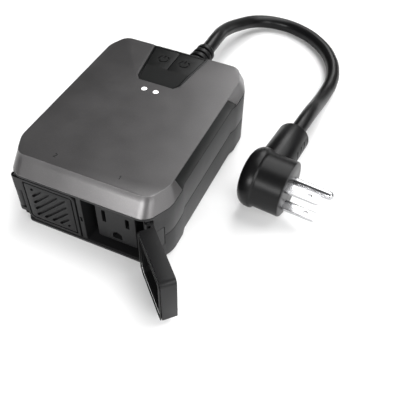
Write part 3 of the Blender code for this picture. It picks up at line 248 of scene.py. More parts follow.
def skin(name, rows, closed=True):
    """A surface through rows of points, all of the same count, with flat ends."""
    shape = bmesh.new()
    rings = [[shape.verts.new(point) for point in row] for row in rows]
    count = len(rings[0])
    for lower, upper in zip(rings, rings[1:]):
        for i in range(count):
            j = (i + 1) % count
            shape.faces.new((lower[i], lower[j], upper[j], upper[i]))
    if closed:
        shape.faces.new(list(reversed(rings[0])))
        shape.faces.new(rings[-1])
    bmesh.ops.recalc_face_normals(shape, faces=shape.faces)
    mesh = bpy.data.meshes.new(name)
    shape.to_mesh(mesh)
    shape.free()
    return new_piece(name, mesh)


def level(outline, height):
    """A plan outline lifted to a height."""
    return [Vector((x, y, height)) for x, y in outline]


def prism(name, outline, low, high):
    return skin(name, [level(outline, low), level(outline, high)])


def block(name, low, high):
    """A box between two corners."""
    xs, ys = sorted((low[0], high[0])), sorted((low[1], high[1]))
    outline = [(xs[0], ys[0]), (xs[1], ys[0]), (xs[1], ys[1]), (xs[0], ys[1])]
    return prism(name, outline, low[2], high[2])


def turned(name, profile, steps=64):
    """A body turned about its own Z axis from (radius, height) pairs, bottom to top."""
    rows = []
    for radius, height in profile:
        angles = [2 * math.pi * i / steps for i in range(steps)]
        rows.append([Vector((radius * math.cos(a), radius * math.sin(a), height)) for a in angles])
    return skin(name, rows)


def rod(name, radius, start, end, steps=32):
    """A round bar between two points."""
    start, end = Vector(start), Vector(end)
    piece = turned(name, [(radius, 0.0), (radius, (end - start).length)], steps)
    turn = (end - start).to_track_quat("Z", "Y").to_matrix().to_4x4()
    return moved(piece, Matrix.Translation(start) @ turn)


def moved(piece, matrix):
    piece.data.transform(matrix)
    if matrix.determinant() < 0:
        piece.data.flip_normals()
    return piece


def upright(piece):
    """Turn a prism whose outline is (x, z) so that its thickness runs along Y."""
    return moved(piece, Matrix.Rotation(math.pi / 2, 4, "X"))


def upright_prism(name, outline, front, back):
    """A prism whose outline is (x, z), between two Y values."""
    return upright(prism(name, outline, -back, -front))


def settle(piece):
    """Apply the piece's modifiers to its mesh."""
    bpy.context.view_layer.update()
    graph = bpy.context.evaluated_depsgraph_get()
    mesh = bpy.data.meshes.new_from_object(piece.evaluated_get(graph))
    old = piece.data
    piece.modifiers.clear()
    piece.data = mesh
    bpy.data.meshes.remove(old)
    mesh.name = piece.name
    return piece


def soften(piece, width, segments=3, angle=30.0):
    """Round every edge that is sharper than an angle."""
    step = piece.modifiers.new("rounding", "BEVEL")
    step.width = width
    step.segments = segments
    step.limit_method = "ANGLE"
    step.angle_limit = math.radians(angle)
    step.use_clamp_overlap = False
    return settle(piece)


def carve(piece, tools, operation="DIFFERENCE"):
    """Cut a piece with other bodies, or join or trim it, and remove those bodies."""
    for tool in tools:
        step = piece.modifiers.new(tool.name, "BOOLEAN")
        step.operation = operation
        step.solver = "EXACT"
        step.object = tool
    settle(piece)
    for tool in tools:
        mesh = tool.data
        bpy.data.objects.remove(tool, do_unlink=True)
        bpy.data.meshes.remove(mesh)
    return piece


def smooth(piece, angle=28.0):
    piece.data.shade_smooth()
    piece.data.set_sharp_from_angle(angle=math.radians(angle))
    return piece


def fillet(before, corner, after, radius, steps):
    """Points of an arc that rounds one corner of an outline."""
    back = (before - corner).normalized()
    ahead = (after - corner).normalized()
    half = back.angle(ahead) / 2
    reach = radius / math.tan(half)
    centre = corner + (back + ahead).normalized() * radius / math.sin(half)
    first = corner + back * reach - centre
    last = corner + ahead * reach - centre
    sweep = first.angle_signed(last)
    points = []
    for i in range(steps + 1):
        turn = -sweep * i / steps
        x = first.x * math.cos(turn) - first.y * math.sin(turn)
        y = first.x * math.sin(turn) + first.y * math.cos(turn)
        points.append((centre.x + x, centre.y + y))
    return points


def rounded(corners, steps=10):
    """A closed outline from corners given as (x, y, radius)."""
    outline = []
    for i, (x, y, radius) in enumerate(corners):
        if radius == 0.0:
            outline.append((x, y))
            continue
        before = Vector(corners[i - 1][:2])
        after = Vector(corners[(i + 1) % len(corners)][:2])
        outline += fillet(before, Vector((x, y)), after, radius, steps)
    return outline


def both_sides(corners):
    """Corners of the right half and their mirror images, as one outline's corners."""
    return corners + [(-x, *rest) for x, *rest in reversed(corners)]


def shrunk(outline, distance):
    """An outline whose edges all move inwards by a distance."""
    count = len(outline)
    points = [Vector(p) for p in outline]
    area = sum(points[i].cross(points[(i + 1) % count]) for i in range(count))
    turn = 1.0 if area > 0 else -1.0
    inner = []
    for i, point in enumerate(points):
        back = (point - points[i - 1]).normalized()
        ahead = (points[(i + 1) % count] - point).normalized()
        normal_a = Vector((-back.y, back.x)) * turn
        normal_b = Vector((-ahead.y, ahead.x)) * turn
        middle = (normal_a + normal_b)
        scale = 2.0 / max(middle.length_squared, 0.4)
        inner.append(tuple(point + middle * distance * scale))
    return inner


def show(piece, body, slot_name, nodes=(), angle=28.0):
    """Shade a finished piece, give it its finish, and tie it to its body."""
    smooth(piece, angle)
    piece.data.materials.clear()
    piece.data.materials.append(finish_of(slot_name))
    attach(piece, body)
    if nodes:
        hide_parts(*nodes)
    return piece


# ---------------------------------------------------------------- finishes
def finish_table():
    """Each slot's colour, roughness, metallic value, grain size and depth, wear and gloss coat."""
    colours = bpy.context.scene.smart_plug_colours
    return {
        "shell_plastic": (colours.shell, 0.42, 0.0, 0.00035, 0.10, 0.35, 0.0),
        "gunmetal_paint": (colours.lid, 0.36, 0.75, 0.00022, 0.05, 0.45, 0.15),
        "trim_plastic": (colours.trim, 0.45, 0.0, 0.00030, 0.12, 0.25, 0.0),
        "cover_plastic": (colours.cover, 0.40, 0.0, 0.00030, 0.12, 0.30, 0.0),
        "outlet_plastic": (colours.outlet, 0.38, 0.0, 0.00030, 0.10, 0.15, 0.0),
        "seal_rubber": (colours.cord, 0.42, 0.0, 0.00040, 0.12, 0.10, 0.0),
        "cord_vinyl": (colours.cord, 0.34, 0.0, 0.00060, 0.06, 0.10, 0.0),
        "nickel_plate": (colours.blade, 0.22, 1.0, 0.00025, 0.03, 0.0, 0.0),
        "contact_brass": ((0.62, 0.47, 0.22), 0.30, 1.0, 0.00030, 0.05, 0.0, 0.0),
        "screw_steel": ((0.45, 0.45, 0.46), 0.32, 1.0, 0.00020, 0.08, 0.2, 0.0),
        "board_laminate": ((0.02, 0.14, 0.06), 0.45, 0.0, 0.00060, 0.08, 0.0, 0.2),
        "component_case": ((0.10, 0.11, 0.13), 0.50, 0.0, 0.00030, 0.10, 0.1, 0.0),
        "relay_case": ((0.02, 0.06, 0.25), 0.35, 0.0, 0.00040, 0.05, 0.1, 0.1),
        "hot_wire_jacket": ((0.02, 0.02, 0.02), 0.45, 0.0, 0.00040, 0.08, 0.0, 0.0),
        "neutral_wire_jacket": ((0.80, 0.80, 0.78), 0.45, 0.0, 0.00040, 0.08, 0.0, 0.0),
        "ground_wire_jacket": ((0.05, 0.30, 0.08), 0.45, 0.0, 0.00040, 0.08, 0.0, 0.0),
    }


def noise(tree, source, scale, detail):
    node = tree.nodes.new("ShaderNodeTexNoise")
    node.inputs["Scale"].default_value = scale
    node.inputs["Detail"].default_value = detail
    tree.links.new(source, node.inputs["Vector"])
    return node.outputs["Fac"]


def mapped(tree, value, low, high, start=0.3, end=0.7):
    """A value between two limits, from the middle stretch of a noise."""
    node = tree.nodes.new("ShaderNodeMapRange")
    tree.links.new(value, node.inputs["Value"])
    node.inputs["From Min"].default_value = start
    node.inputs["From Max"].default_value = end
    node.inputs["To Min"].default_value = low
    node.inputs["To Max"].default_value = high
    return node.outputs["Result"]


def blended(tree, factor, first, second):
    """A colour mix. Each side is a colour or another node's output."""
    node = tree.nodes.new("ShaderNodeMix")
    node.data_type = "RGBA"
    sockets = [s for s in node.inputs if s.type == "RGBA"]
    tree.links.new(factor, node.inputs["Factor"])
    for socket, value in zip(sockets, (first, second)):
        if isinstance(value, bpy.types.NodeSocket):
            tree.links.new(value, socket)
        else:
            socket.default_value = (*value, 1.0)
    return next(s for s in node.outputs if s.type == "RGBA")


def edge_mask(tree, radius):
    """White along edges that hands and tools rub, black on flat faces."""
    bevel = tree.nodes.new("ShaderNodeBevel")
    bevel.samples = 4
    bevel.inputs["Radius"].default_value = radius
    flat = tree.nodes.new("ShaderNodeNewGeometry")
    likeness = tree.nodes.new("ShaderNodeVectorMath")
    likeness.operation = "DOT_PRODUCT"
    tree.links.new(bevel.outputs["Normal"], likeness.inputs[0])
    tree.links.new(flat.outputs["Normal"], likeness.inputs[1])
    return mapped(tree, likeness.outputs["Value"], 1.0, 0.0, 0.80, 0.995)


def moulded_finish(name, colour, roughness, metallic, grain, depth, wear, coat):
    """Plastic, paint, rubber or metal with mottled colour, uneven gloss, grain and rubbed edges."""
    colour = tuple(colour)
    material = bpy.data.materials.new(name)
    material.use_nodes = True
    tree = material.node_tree
    shader = tree.nodes["Principled BSDF"]
    shader.inputs["Metallic"].default_value = metallic
    shader.inputs["Coat Weight"].default_value = coat
    shader.inputs["Specular IOR Level"].default_value = 0.5 if metallic else 0.18
    shader.inputs["Coat Roughness"].default_value = 0.18
    place_in = tree.nodes.new("ShaderNodeTexCoord").outputs["Object"]
    cloudy = noise(tree, place_in, 70.0, 3.0)
    speckle = noise(tree, place_in, 0.5 / grain, 2.0)
    fine = noise(tree, place_in, 1.0 / grain, 3.0)
    dark = tuple(c * 0.95 for c in colour)
    light = tuple(min(c * 1.05, 1.0) for c in colour)
    base = blended(tree, mapped(tree, cloudy, 0.0, 1.0), dark, light)
    flecks = tuple(min(c * 1.35 + 0.002, 1.0) for c in colour)
    base = blended(tree, mapped(tree, speckle, 0.0, 0.35, 0.5, 0.75), base, flecks)
    if wear:
        rubbed = tuple(min(c * 1.6 + 0.015, 1.0) for c in colour)
        patchy = tree.nodes.new("ShaderNodeMath")
        patchy.operation = "MULTIPLY"
        tree.links.new(edge_mask(tree, 0.0004), patchy.inputs[0])
        tree.links.new(mapped(tree, cloudy, 0.3 * wear, wear), patchy.inputs[1])
        base = blended(tree, patchy.outputs["Value"], base, rubbed)
    tree.links.new(base, shader.inputs["Base Color"])
    spread = roughness * 0.06
    uneven = mapped(tree, cloudy, roughness - spread, roughness + spread)
    tree.links.new(uneven, shader.inputs["Roughness"])
    bump = tree.nodes.new("ShaderNodeBump")
    bump.inputs["Strength"].default_value = depth
    bump.inputs["Distance"].default_value = grain * 0.25
    tree.links.new(fine, bump.inputs["Height"])
    tree.links.new(bump.outputs["Normal"], shader.inputs["Normal"])
    return material


def lit_lens_finish():
    """White light pipes that glow, with a faint milky mottle."""
    colour = bpy.context.scene.smart_plug_colours.light
    material = bpy.data.materials.new("light_pipe")
    material.use_nodes = True
    tree = material.node_tree
    shader = tree.nodes["Principled BSDF"]
    place_in = tree.nodes.new("ShaderNodeTexCoord").outputs["Object"]
    milky = noise(tree, place_in, 900.0, 2.0)
    base = blended(tree, mapped(tree, milky, 0.0, 1.0), tuple(c * 0.92 for c in colour), colour)
    tree.links.new(base, shader.inputs["Base Color"])
    tree.links.new(base, shader.inputs["Emission Color"])
    shader.inputs["Emission Strength"].default_value = 0.9
    tree.links.new(mapped(tree, milky, 0.10, 0.22), shader.inputs["Roughness"])
    return material


def finish_of(slot_name):
    """The slot's material, made the first time it is asked for."""
    name = slot_name + "_finish"
    if name in bpy.data.materials:
        return bpy.data.materials[name]
    if slot_name == "light_pipe":
        material = lit_lens_finish()
    else:
        material = moulded_finish(slot_name, *finish_table()[slot_name])
    material.name = name
    return material


# ---------------------------------------------------------------- outlines of the housing
def shell_outline(shrink=0.0):
    """The housing's plan at its widest, with the shallow recess in each side."""
    half_x = HALF_WIDTH - shrink
    half_y = HALF_LENGTH - shrink
    cut_x, cut_y = CORNER_CUT
    start, end = behind(RECESS_START), behind(RECESS_END)
    return rounded(both_sides([
        (half_x - cut_x, -half_y, CORNER_ROUND_END),
        (half_x, -half_y + cut_y, CORNER_ROUND_SIDE),
        (half_x, start, 0.0),
        (half_x - RECESS_DEPTH, start + RECESS_RAMP, 0.0),
        (half_x - RECESS_DEPTH, end - RECESS_RAMP, 0.0),
        (half_x, end, 0.0),
        (half_x, half_y - cut_y, CORNER_ROUND_SIDE),
        (half_x - cut_x, half_y, CORNER_ROUND_END),
    ]))


def lid_outline(share):
    """The lid's plan from the band's lower edge (0) to the top face (1)."""
    half_x = HALF_WIDTH - BAND_RUN_SIDE * share
    half_y = HALF_LENGTH - BAND_RUN_END * share
    cut_x = CORNER_CUT[0] + (TOP_CORNER_CUT[0] - CORNER_CUT[0]) * share
    cut_y = CORNER_CUT[1] + (TOP_CORNER_CUT[1] - CORNER_CUT[1]) * share
    scale = 1.0 - (1.0 - TOP_ROUND_SHARE) * share
    return rounded(both_sides([
        (half_x - cut_x, -half_y, CORNER_ROUND_END * scale),
        (half_x, -half_y + cut_y, CORNER_ROUND_SIDE * scale),
        (half_x, half_y - cut_y, CORNER_ROUND_SIDE * scale),
        (half_x - cut_x, half_y, CORNER_ROUND_END * scale),
    ]))


def room_outline():
    """Plan of the room inside the shells."""
    half_x = HALF_WIDTH - RECESS_DEPTH - WALL
    rear = HALF_LENGTH - WALL
    corner_x, corner_y = 0.0132, 0.0193
    side = [(half_x - corner_x, -rear), (half_x, -rear + corner_y),
            (half_x, rear - corner_y), (half_x - corner_x, rear)]
    return side + [(-x, y) for x, y in reversed(side)]


def pad_half(depth):
    share = (depth - PAD_CORNER) / (PAD_REAR - PAD_CORNER)
    return PAD_HALF[1] + (PAD_HALF[2] - PAD_HALF[1]) * share


def pad_outline(margin, rear):
    """Plan of the button pad, a trapezoid that widens to the rear. A margin makes it larger."""
    side = [
        (PAD_HALF[0] + margin, behind(PAD_FRONT - margin)),
        (PAD_HALF[1] + margin, behind(PAD_CORNER - margin)),
        (pad_half(rear) + margin, behind(rear)),
    ]
    return side + [(-x, y) for x, y in reversed(side)]


def trim_outline(side, share, margin):
    """Plan of a side inlay at the band's lower edge (0) or near its top (1)."""
    half_x = HALF_WIDTH - BAND_RUN_SIDE * share
    start = behind(RECESS_START + (RECESS_TOP_START - RECESS_START) * share) - margin
    end = behind(RECESS_END + (RECESS_TOP_END - RECESS_END) * share) + margin
    inset = RECESS_DEPTH * (1.0 - share)
    inner = HALF_WIDTH - BAND_RUN_SIDE - TRIM_THICKNESS - margin
    ramp = RECESS_RAMP * (1.0 - 0.8 * share)
    if margin:
        points = [(inner, start), (half_x + 0.003, start), (half_x + 0.003, end), (inner, end)]
    else:
        points = [(inner, start), (half_x, start), (half_x - inset, start + ramp),
                  (half_x - inset, end - ramp), (half_x, end), (inner, end)]
    return [(side * x, y) for x, y in points]


# ---------------------------------------------------------------- housing
def front_window():
    return block("window", (BEZEL_LOW.x - GAP, FRONT - 0.001, BEZEL_LOW.z - GAP),
                 (BEZEL_HIGH.x + GAP, BEZEL_HIGH.y + GAP, BEZEL_HIGH.z + GAP))


def knuckle_sweep(side):
    """Room for the turning knuckles of a cover."""
    low = COVER_LOW.z + COVER_CHAMFER[1] - 0.0012
    return rod("sweep", KNUCKLE_RADIUS + 0.0006, (side * HINGE_X, HINGE_Y, low),
               (side * HINGE_X, HINGE_Y, COVER_HIGH.z + 0.0006))


def corner_openings(side):
    """Room for a hinge keeper and for the sweep of a cover's knuckles."""
    near = side * (BEZEL_HIGH.x + GAP)
    far = side * (KEEPER_HIGH.x + GAP)
    pocket = block("pocket", (near, FRONT - 0.001, KEEPER_LOW.z - GAP),
                   (far, KEEPER_HIGH.y + GAP, KEEPER_HIGH.z + GAP))
    return [pocket, knuckle_sweep(side)]


def corner_wedge(side):
    """A block that takes the lower front corner off the housing."""
    points = [Vector((side * (HALF_WIDTH - 0.0110), FRONT, 0.0)),
              Vector((side * (HALF_WIDTH - 0.0040), behind(0.0040), 0.0075)),
              Vector((side * (HALF_WIDTH - 0.0030), behind(0.0100), 0.0))]
    normal = (points[1] - points[0]).cross(points[2] - points[0]).normalized()
    if normal.x * side < 0:
        normal = -normal
    wedge = block("wedge", (-0.01, -0.01, 0.0), (0.01, 0.01, 0.02))
    turn = normal.to_track_quat("Z", "Y").to_matrix().to_4x4()
    return moved(wedge, Matrix.Translation(points[0]) @ turn)


def screw_places():
    for x in (-1, 1):
        for y in (-1, 1):
            yield x * (HALF_WIDTH - 0.0052), y * (HALF_LENGTH - 0.0120)


def shared_openings():
    tools = [front_window()] + corner_openings(-1) + corner_openings(1)
    for x, y in screw_places():
        tools.append(rod("screw_hole", 0.0018, (x, y, -0.001), (x, y, BAND_LOW - 0.0049)))
    tools.append(rod("cord_hole", 0.0073, (0.0, HALF_LENGTH - 0.006, RELIEF_Z),
                     (0.0, HALF_LENGTH + 0.003, RELIEF_Z), 48))
    return tools


def rim(distance, steps=3):
    """Inset and rise of each step of a rounded rim."""
    for i in range(steps + 1):
        turn = math.pi / 2 * i / steps
        yield distance * (1.0 - math.sin(turn)), distance * (1.0 - math.cos(turn))


def make_shells(sizes):
    """The lower and upper shells, with rounded rims at the parting line and the underside."""
    edge = sizes.edge_round
    foot = 0.0011
    rows = [level(shell_outline(inset), rise) for inset, rise in rim(foot, 4)]
    rows += [level(shell_outline(inset), LOWER_TOP - rise)
             for inset, rise in reversed(list(rim(edge)))]
    lower = skin("lower_shell_body", rows)
    tools = [prism("lower_room", room_outline(), WALL, PARTING + 0.01)] + shared_openings()
    for x, y in screw_places():
        tools.append(rod("head_pocket", 0.0027, (x, y, -0.001), (x, y, 0.0024)))
    tools += [corner_wedge(-1), corner_wedge(1)]
    carve(lower, tools)
    show(lower, "housing", "shell_plastic", ["lower_shell"])

    rows = [level(shell_outline(inset), PARTING + rise) for inset, rise in rim(edge)]
    rows += [level(shell_outline(inset), BAND_LOW - GAP - rise)
             for inset, rise in reversed(list(rim(edge)))]
    upper = skin("upper_shell_body", rows)
    room = prism("upper_room", room_outline(), PARTING - 0.01, BAND_LOW + 0.01)
    carve(upper, [room] + shared_openings())
    show(upper, "housing", "shell_plastic", ["upper_shell"])


def make_lid(sizes):
    """The painted lid: a sloping band, a fine bright facet and a flat top with the pad's window."""
    edge = sizes.edge_round
    height = TOP - BAND_LOW
    facet = sizes.lid_edge
    rows = [level(shrunk(lid_outline(0.0), edge * 0.6), BAND_LOW)]
    rows.append(level(lid_outline(edge / height), BAND_LOW + edge))
    for share in (0.35, 0.7):
        rows.append(level(lid_outline(share), BAND_LOW + height * share))
    start = 1.0 - facet / height
    rows.append(level(lid_outline(start), BAND_LOW + height * start))
    for inset, rise in ((0.30, 0.62), (0.70, 0.90), (1.25, 1.0)):
        outline = lid_outline(start + (1.0 - start) * inset)
        rows.append(level(outline, TOP - facet * (1.0 - rise)))
    lid = skin("painted_lid", rows)
    inner_x = HALF_WIDTH - BAND_RUN_SIDE - TRIM_THICKNESS - WALL
    inner_y = HALF_LENGTH - BAND_RUN_END
    room = [(inner_x, -inner_y + 0.012), (inner_x - 0.008, -inner_y + WALL),
            (-inner_x + 0.008, -inner_y + WALL), (-inner_x, -inner_y + 0.012),
            (-inner_x, inner_y - 0.012), (-inner_x + 0.008, inner_y - WALL),
            (inner_x - 0.008, inner_y - WALL), (inner_x, inner_y - 0.012)]
    tools = [prism("lid_room", room, BAND_LOW - 0.005, TOP - 0.002)]
    for side in (-1, 1):
        pocket = [level(trim_outline(side, 0.0, 0.00015), BAND_LOW - 0.004),
                  level(trim_outline(side, 0.0, 0.00015), BAND_LOW),
                  level(trim_outline(side, 1.0, 0.00015), TOP - TRIM_DROP + 0.00015)]
        tools.append(skin("trim_pocket", pocket))
        lens_x = side * (LENS_LOW.x + LENS_HIGH.x) / 2
        lens_y = (LENS_LOW.y + LENS_HIGH.y) / 2
        tools.append(rod("light_hole", (LENS_HIGH.x - LENS_LOW.x) / 2 + 0.00012,
                         (lens_x, lens_y, TOP - 0.005), (lens_x, lens_y, TOP + 0.002), 48))
    window = [level(pad_outline(GAP * 0.5, LENGTH + 0.002), PAD_LOW - GAP),
              level(pad_outline(GAP * 0.5, LENGTH + 0.002), TOP - 0.0006),
              level(pad_outline(GAP * 0.5 + 0.0008, LENGTH + 0.002), TOP + 0.0002)]
    tools.append(skin("pad_window", window))
    carve(lid, tools)
    show(lid, "housing", "gunmetal_paint", ["top_cover"], 20.0)

    for side in (-1, 1):
        label = "left" if side < 0 else "right"
        top = TOP - TRIM_DROP
        inlay = skin(label + "_side_inlay", [level(trim_outline(side, 0.0, 0.0), BAND_LOW),
                                             level(trim_outline(side, 1.0, 0.0), top)])
        soften(inlay, 0.00018, 2)
        show(inlay, "housing", "trim_plastic", [label + "_side_trim"])


def stroke(name, points, radius):
    """A fine raised line on the lid, with round ends."""
    curve = bpy.data.curves.new(name, "CURVE")
    curve.dimensions = "3D"
    curve.bevel_depth = radius
    curve.bevel_resolution = 3
    curve.use_fill_caps = True
    spline = curve.splines.new("POLY")
    spline.points.add(len(points) - 1)
    for point, (x, y) in zip(spline.points, points):
        point.co = (x, y, TOP, 1.0)
    piece = bpy.data.objects.new(name, curve)
    bpy.context.scene.collection.objects.link(piece)
    return piece


def make_numerals():
    """The small numerals on the lid in front of each bay, which number the outlets."""
    half = 0.0011
    width = 0.0006
    y = behind(0.0120)
    right = [(OUTLET_X - width, y + half * 0.6), (OUTLET_X, y + half), (OUTLET_X, y - half)]
    arc = [math.radians(150 - 200 * i / 8) for i in range(9)]
    left = [(-OUTLET_X + width * math.cos(a), y + half - width + width * math.sin(a))
            for a in arc]
    left += [(-OUTLET_X - width, y - half), (-OUTLET_X + width, y - half)]
    for name, points in (("outlet_number_right", right), ("outlet_number_left", left)):
        mark = stroke(name, points, 0.00018)
        mark.data.materials.append(finish_of("trim_plastic"))
        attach(mark, "housing")


def make_lights():
    """Two round light pipes with slightly crowned faces."""
    radius = (LENS_HIGH.x - LENS_LOW.x) / 2
    for side, label in ((-1, "left"), (1, "right")):
        x = side * (LENS_LOW.x + LENS_HIGH.x) / 2
        y = (LENS_LOW.y + LENS_HIGH.y) / 2
        profile = [(radius * 0.9, 0.0), (radius, 0.0002)]
        crown = 0.00025
        depth = LENS_HIGH.z - LENS_LOW.z
        for i in range(5):
            share = i / 4 * 0.98
            profile.append((radius * math.cos(share * math.pi / 2),
                            depth - crown + crown * math.sin(share * math.pi / 2)))
        lens = turned(label + "_status_light", profile, 48)
        moved(lens, Matrix.Translation((x, y, LENS_LOW.z)))
        show(lens, "housing", "light_pipe", [label + "_light_pipe"], 40.0)


# ---------------------------------------------------------------- buttons
def button_outline(side, margin=0.0):
    """Plan of one button beside the middle line. A margin makes it larger."""
    inner = 0.00018 - margin
    edge = PLATEAU_INSET
    points = [(inner, behind(BUTTON_FRONT) - margin),
              (pad_half(BUTTON_FRONT) - edge + margin, behind(BUTTON_FRONT) - margin),
              (pad_half(BUTTON_REAR) - edge + margin, behind(BUTTON_REAR) + margin),
              (inner, behind(BUTTON_REAR) + margin)]
    return [(side * x, y) for x, y in points]


def power_symbol(centre, radius, line, floor):
    """Cutters for an engraved ring that is open at the rear, with a bar in the opening."""
    x, y = centre
    gap = math.radians(32)
    angles = [math.pi / 2 + gap + (2 * math.pi - 2 * gap) * i / 40 for i in range(41)]
    outer = [(x + (radius + line / 2) * math.cos(a), y + (radius + line / 2) * math.sin(a))
             for a in angles]
    inner = [(x + (radius - line / 2) * math.cos(a), y + (radius - line / 2) * math.sin(a))
             for a in reversed(angles)]
    ring = prism("symbol_ring", outer + inner, floor, TOP + 0.001)
    bar = block("symbol_bar", (x - line / 2, y + radius * 0.15, floor),
                (x + line / 2, y + radius * 1.15, TOP + 0.001))
    return [ring, bar]


def make_buttons(sizes):
    """The pad with its bevelled rim and groove, and the two buttons with power symbols."""
    rear = PAD_REAR
    chamfer = 0.0009
    pad = skin("button_pad", [
        level(pad_outline(0.0, rear), PAD_LOW),
        level(pad_outline(0.0, rear), PAD_TOP - chamfer * 0.4),
        level(shrunk(pad_outline(0.0, rear), chamfer), PAD_TOP),
    ])
    groove_outer = shrunk(pad_outline(0.0, rear + 0.004), PLATEAU_INSET * 0.62)
    groove_inner = shrunk(pad_outline(0.0, rear + 0.004), PLATEAU_INSET)
    groove = prism("pad_groove", groove_outer, PAD_TOP - 0.0011, TOP + 0.001)
    carve(groove, [prism("plateau_core", groove_inner, PAD_TOP - 0.003, TOP + 0.003)])
    drop, run = 0.0012, BUTTON_FRONT - PAD_FRONT
    facet = block("pad_facet", (-0.03, -0.02, 0.0), (0.03, 0.0, 0.01))
    moved(facet, Matrix.Translation((0.0, behind(BUTTON_FRONT) - 0.0006, PAD_TOP))
          @ Matrix.Rotation(math.atan2(drop, run), 4, "X"))
    slope = block("pad_rear_slope", (-0.03, 0.0, 0.0), (0.03, 0.02, 0.02))
    moved(slope, Matrix.Translation((0.0, behind(BUTTON_REAR) + 0.0012, PAD_TOP))
          @ Matrix.Rotation(-math.atan2(TOP - BAND_LOW, BAND_RUN_END), 4, "X"))
    tools = [groove, facet, slope]
    for side in (-1, 1):
        tools.append(prism("button_pocket", [
            (side * -0.001, behind(BUTTON_FRONT) - 0.00022),
            *[(x + side * 0.00022, y) for x, y in button_outline(side)[1:3]],
            (side * -0.001, behind(BUTTON_REAR) + 0.00022),
        ], TOP - 0.0028, TOP + 0.001))
        tools.append(rod("stem_hole", 0.0018, (side * STEM[0], behind(STEM[1]), PAD_LOW - 0.001),
                         (side * STEM[0], behind(STEM[1]), PAD_LOW + 0.01)))
    carve(pad, tools)
    show(pad, "housing", "trim_plastic", ["button_frame"])
    for side, label in ((-1, "left"), (1, "right")):
        top = BUTTON_HIGH.z
        button = prism(label + "_press_button", button_outline(side), top - 0.0014, top)
        soften(button, 0.00014, 3)
        stem = rod("stem", 0.0015, (side * STEM[0], behind(STEM[1]), BUTTON_LOW.z),
                   (side * STEM[0], behind(STEM[1]), top - 0.0005))
        carve(button, [stem], "UNION")
        symbol = power_symbol((side * STEM[0], behind(STEM[1])), sizes.symbol_radius,
                              sizes.symbol_line, top - 0.0006)
        carve(button, symbol)
        show(button, label + "_button", "trim_plastic", [label + "_button"])


# ---------------------------------------------------------------- front frame and outlets
def make_front_frame(sizes):
    """The frame with its two bays, stepped back at both ends for the hinges."""
    face = BEZEL_LOW.y
    bezel = block("bay_frame", (BEZEL_LOW.x, face, BEZEL_LOW.z),
                  (BEZEL_HIGH.x, BEZEL_HIGH.y, BEZEL_HIGH.z))
    tools = []
    for side in (-1, 1):
        near, far = side * POST_HALF, side * (BEZEL_HIGH.x - BEZEL_WALL)
        tools.append(block("bay", (near, FRONT - 0.001, BEZEL_LOW.z + LIP),
                           (far, behind(BAY_DEPTH), BEZEL_HIGH.z - LIP)))
        near, far = side * (BEZEL_HIGH.x - 2 * BEZEL_WALL), side * (HALF_WIDTH + 0.01)
        tools.append(block("plate_step", (near, FRONT - 0.001, BEZEL_LOW.z - 0.001),
                           (far, behind(0.0025), BEZEL_HIGH.z + 0.001)))
        tools.append(knuckle_sweep(side))
    extra = tools[2::3]
    pockets = [corner for corner in tools if corner not in extra]
    carve(bezel, pockets)
    soften(bezel, sizes.edge_round * 0.6, 2, 50.0)
    catch = block("catch_notch", (-0.0006, FRONT - 0.001, 0.0158),
                  (0.0006, BEZEL_LOW.y + 0.0008, 0.0190))
    for side in (-1, 1):
        for kind_x, kind_z, height in ((-SLOT_PITCH / 2, SLOT_Z, 0.0070),
                                       (SLOT_PITCH / 2, SLOT_Z, 0.0060),
                                       (0.0, SLOT_Z - GROUND_DROP, 0.0050)):
            x = side * OUTLET_X + kind_x
            extra.append(block("tail_hole", (x - 0.0016, behind(BAY_DEPTH) - 0.001,
                                             kind_z - height / 2),
                               (x + 0.0016, BEZEL_HIGH.y + 0.001, kind_z + height / 2)))
    carve(bezel, extra + [catch])
    # The frame takes the near-black cover finish. This is partly its own black plastic and partly
    # painted shade standing in for the shade deep inside the bays.
    show(bezel, "housing", "cover_plastic", ["front_frame"])


def outlet_corners(x, margin=0.0):
    """A rounded rectangle around an outlet's face as (x, z)."""
    half = (OUTLET_HIGH.x - OUTLET_LOW.x) / 2 - margin
    radius = 0.0011 - margin * 0.5
    return rounded([(x - half, OUTLET_LOW.z + margin, radius),
                    (x + half, OUTLET_LOW.z + margin, radius),
                    (x + half, OUTLET_HIGH.z - margin, radius),
                    (x - half, OUTLET_HIGH.z - margin, radius)], 6)


def make_outlets():
    """Each outlet's face block with a rounded rim, two blade slots and an arched ground hole."""
    face, back = OUTLET_LOW.y, OUTLET_HIGH.y
    for side, label in ((-1, "left"), (1, "right")):
        x = side * OUTLET_X
        rows = []
        for inset, depth in rim(0.0005, 4):
            rows.append([Vector((px, face + depth, pz))
                         for px, pz in outlet_corners(x, inset)])
        rows.append([Vector((px, back, pz)) for px, pz in outlet_corners(x)])
        outlet = skin(label + "_outlet_face", rows)
        tools = []
        for kind_x, height in ((x - SLOT_PITCH / 2, 0.0083), (x + SLOT_PITCH / 2, 0.0066)):
            half, tall = 0.00105, height / 2
            corners = [(kind_x + across * half, SLOT_Z + up * tall, 0.00018)
                       for across, up in ((-1, -1), (1, -1), (1, 1), (-1, 1))]
            tools.append(upright_prism("blade_slot", rounded(corners, 3), face - 0.001,
                                       behind(0.0080)))
            tools.append(block("slot_pocket",
                               (kind_x - 0.0025, behind(0.0070), SLOT_Z - tall - 0.0006),
                               (kind_x + 0.0025, back + 0.001, SLOT_Z + tall + 0.0006)))
        ground_z, radius = SLOT_Z - GROUND_DROP, 0.0026
        arch = [(x + radius * math.cos(a), ground_z + radius * math.sin(a))
                for a in [math.pi * i / 24 for i in range(25)]]
        arch += [(x - radius, ground_z - 0.0021), (x + radius, ground_z - 0.0021)]
        tools.append(upright_prism("ground_hole", arch, face - 0.001, behind(0.0080)))
        tools.append(block("ground_pocket", (x - 0.0031, behind(0.0070), ground_z - 0.0031),
                           (x + 0.0031, back + 0.001, ground_z + 0.0031)))
        carve(outlet, tools)
        show(outlet, "housing", "outlet_plastic", [label + "_outlet"])


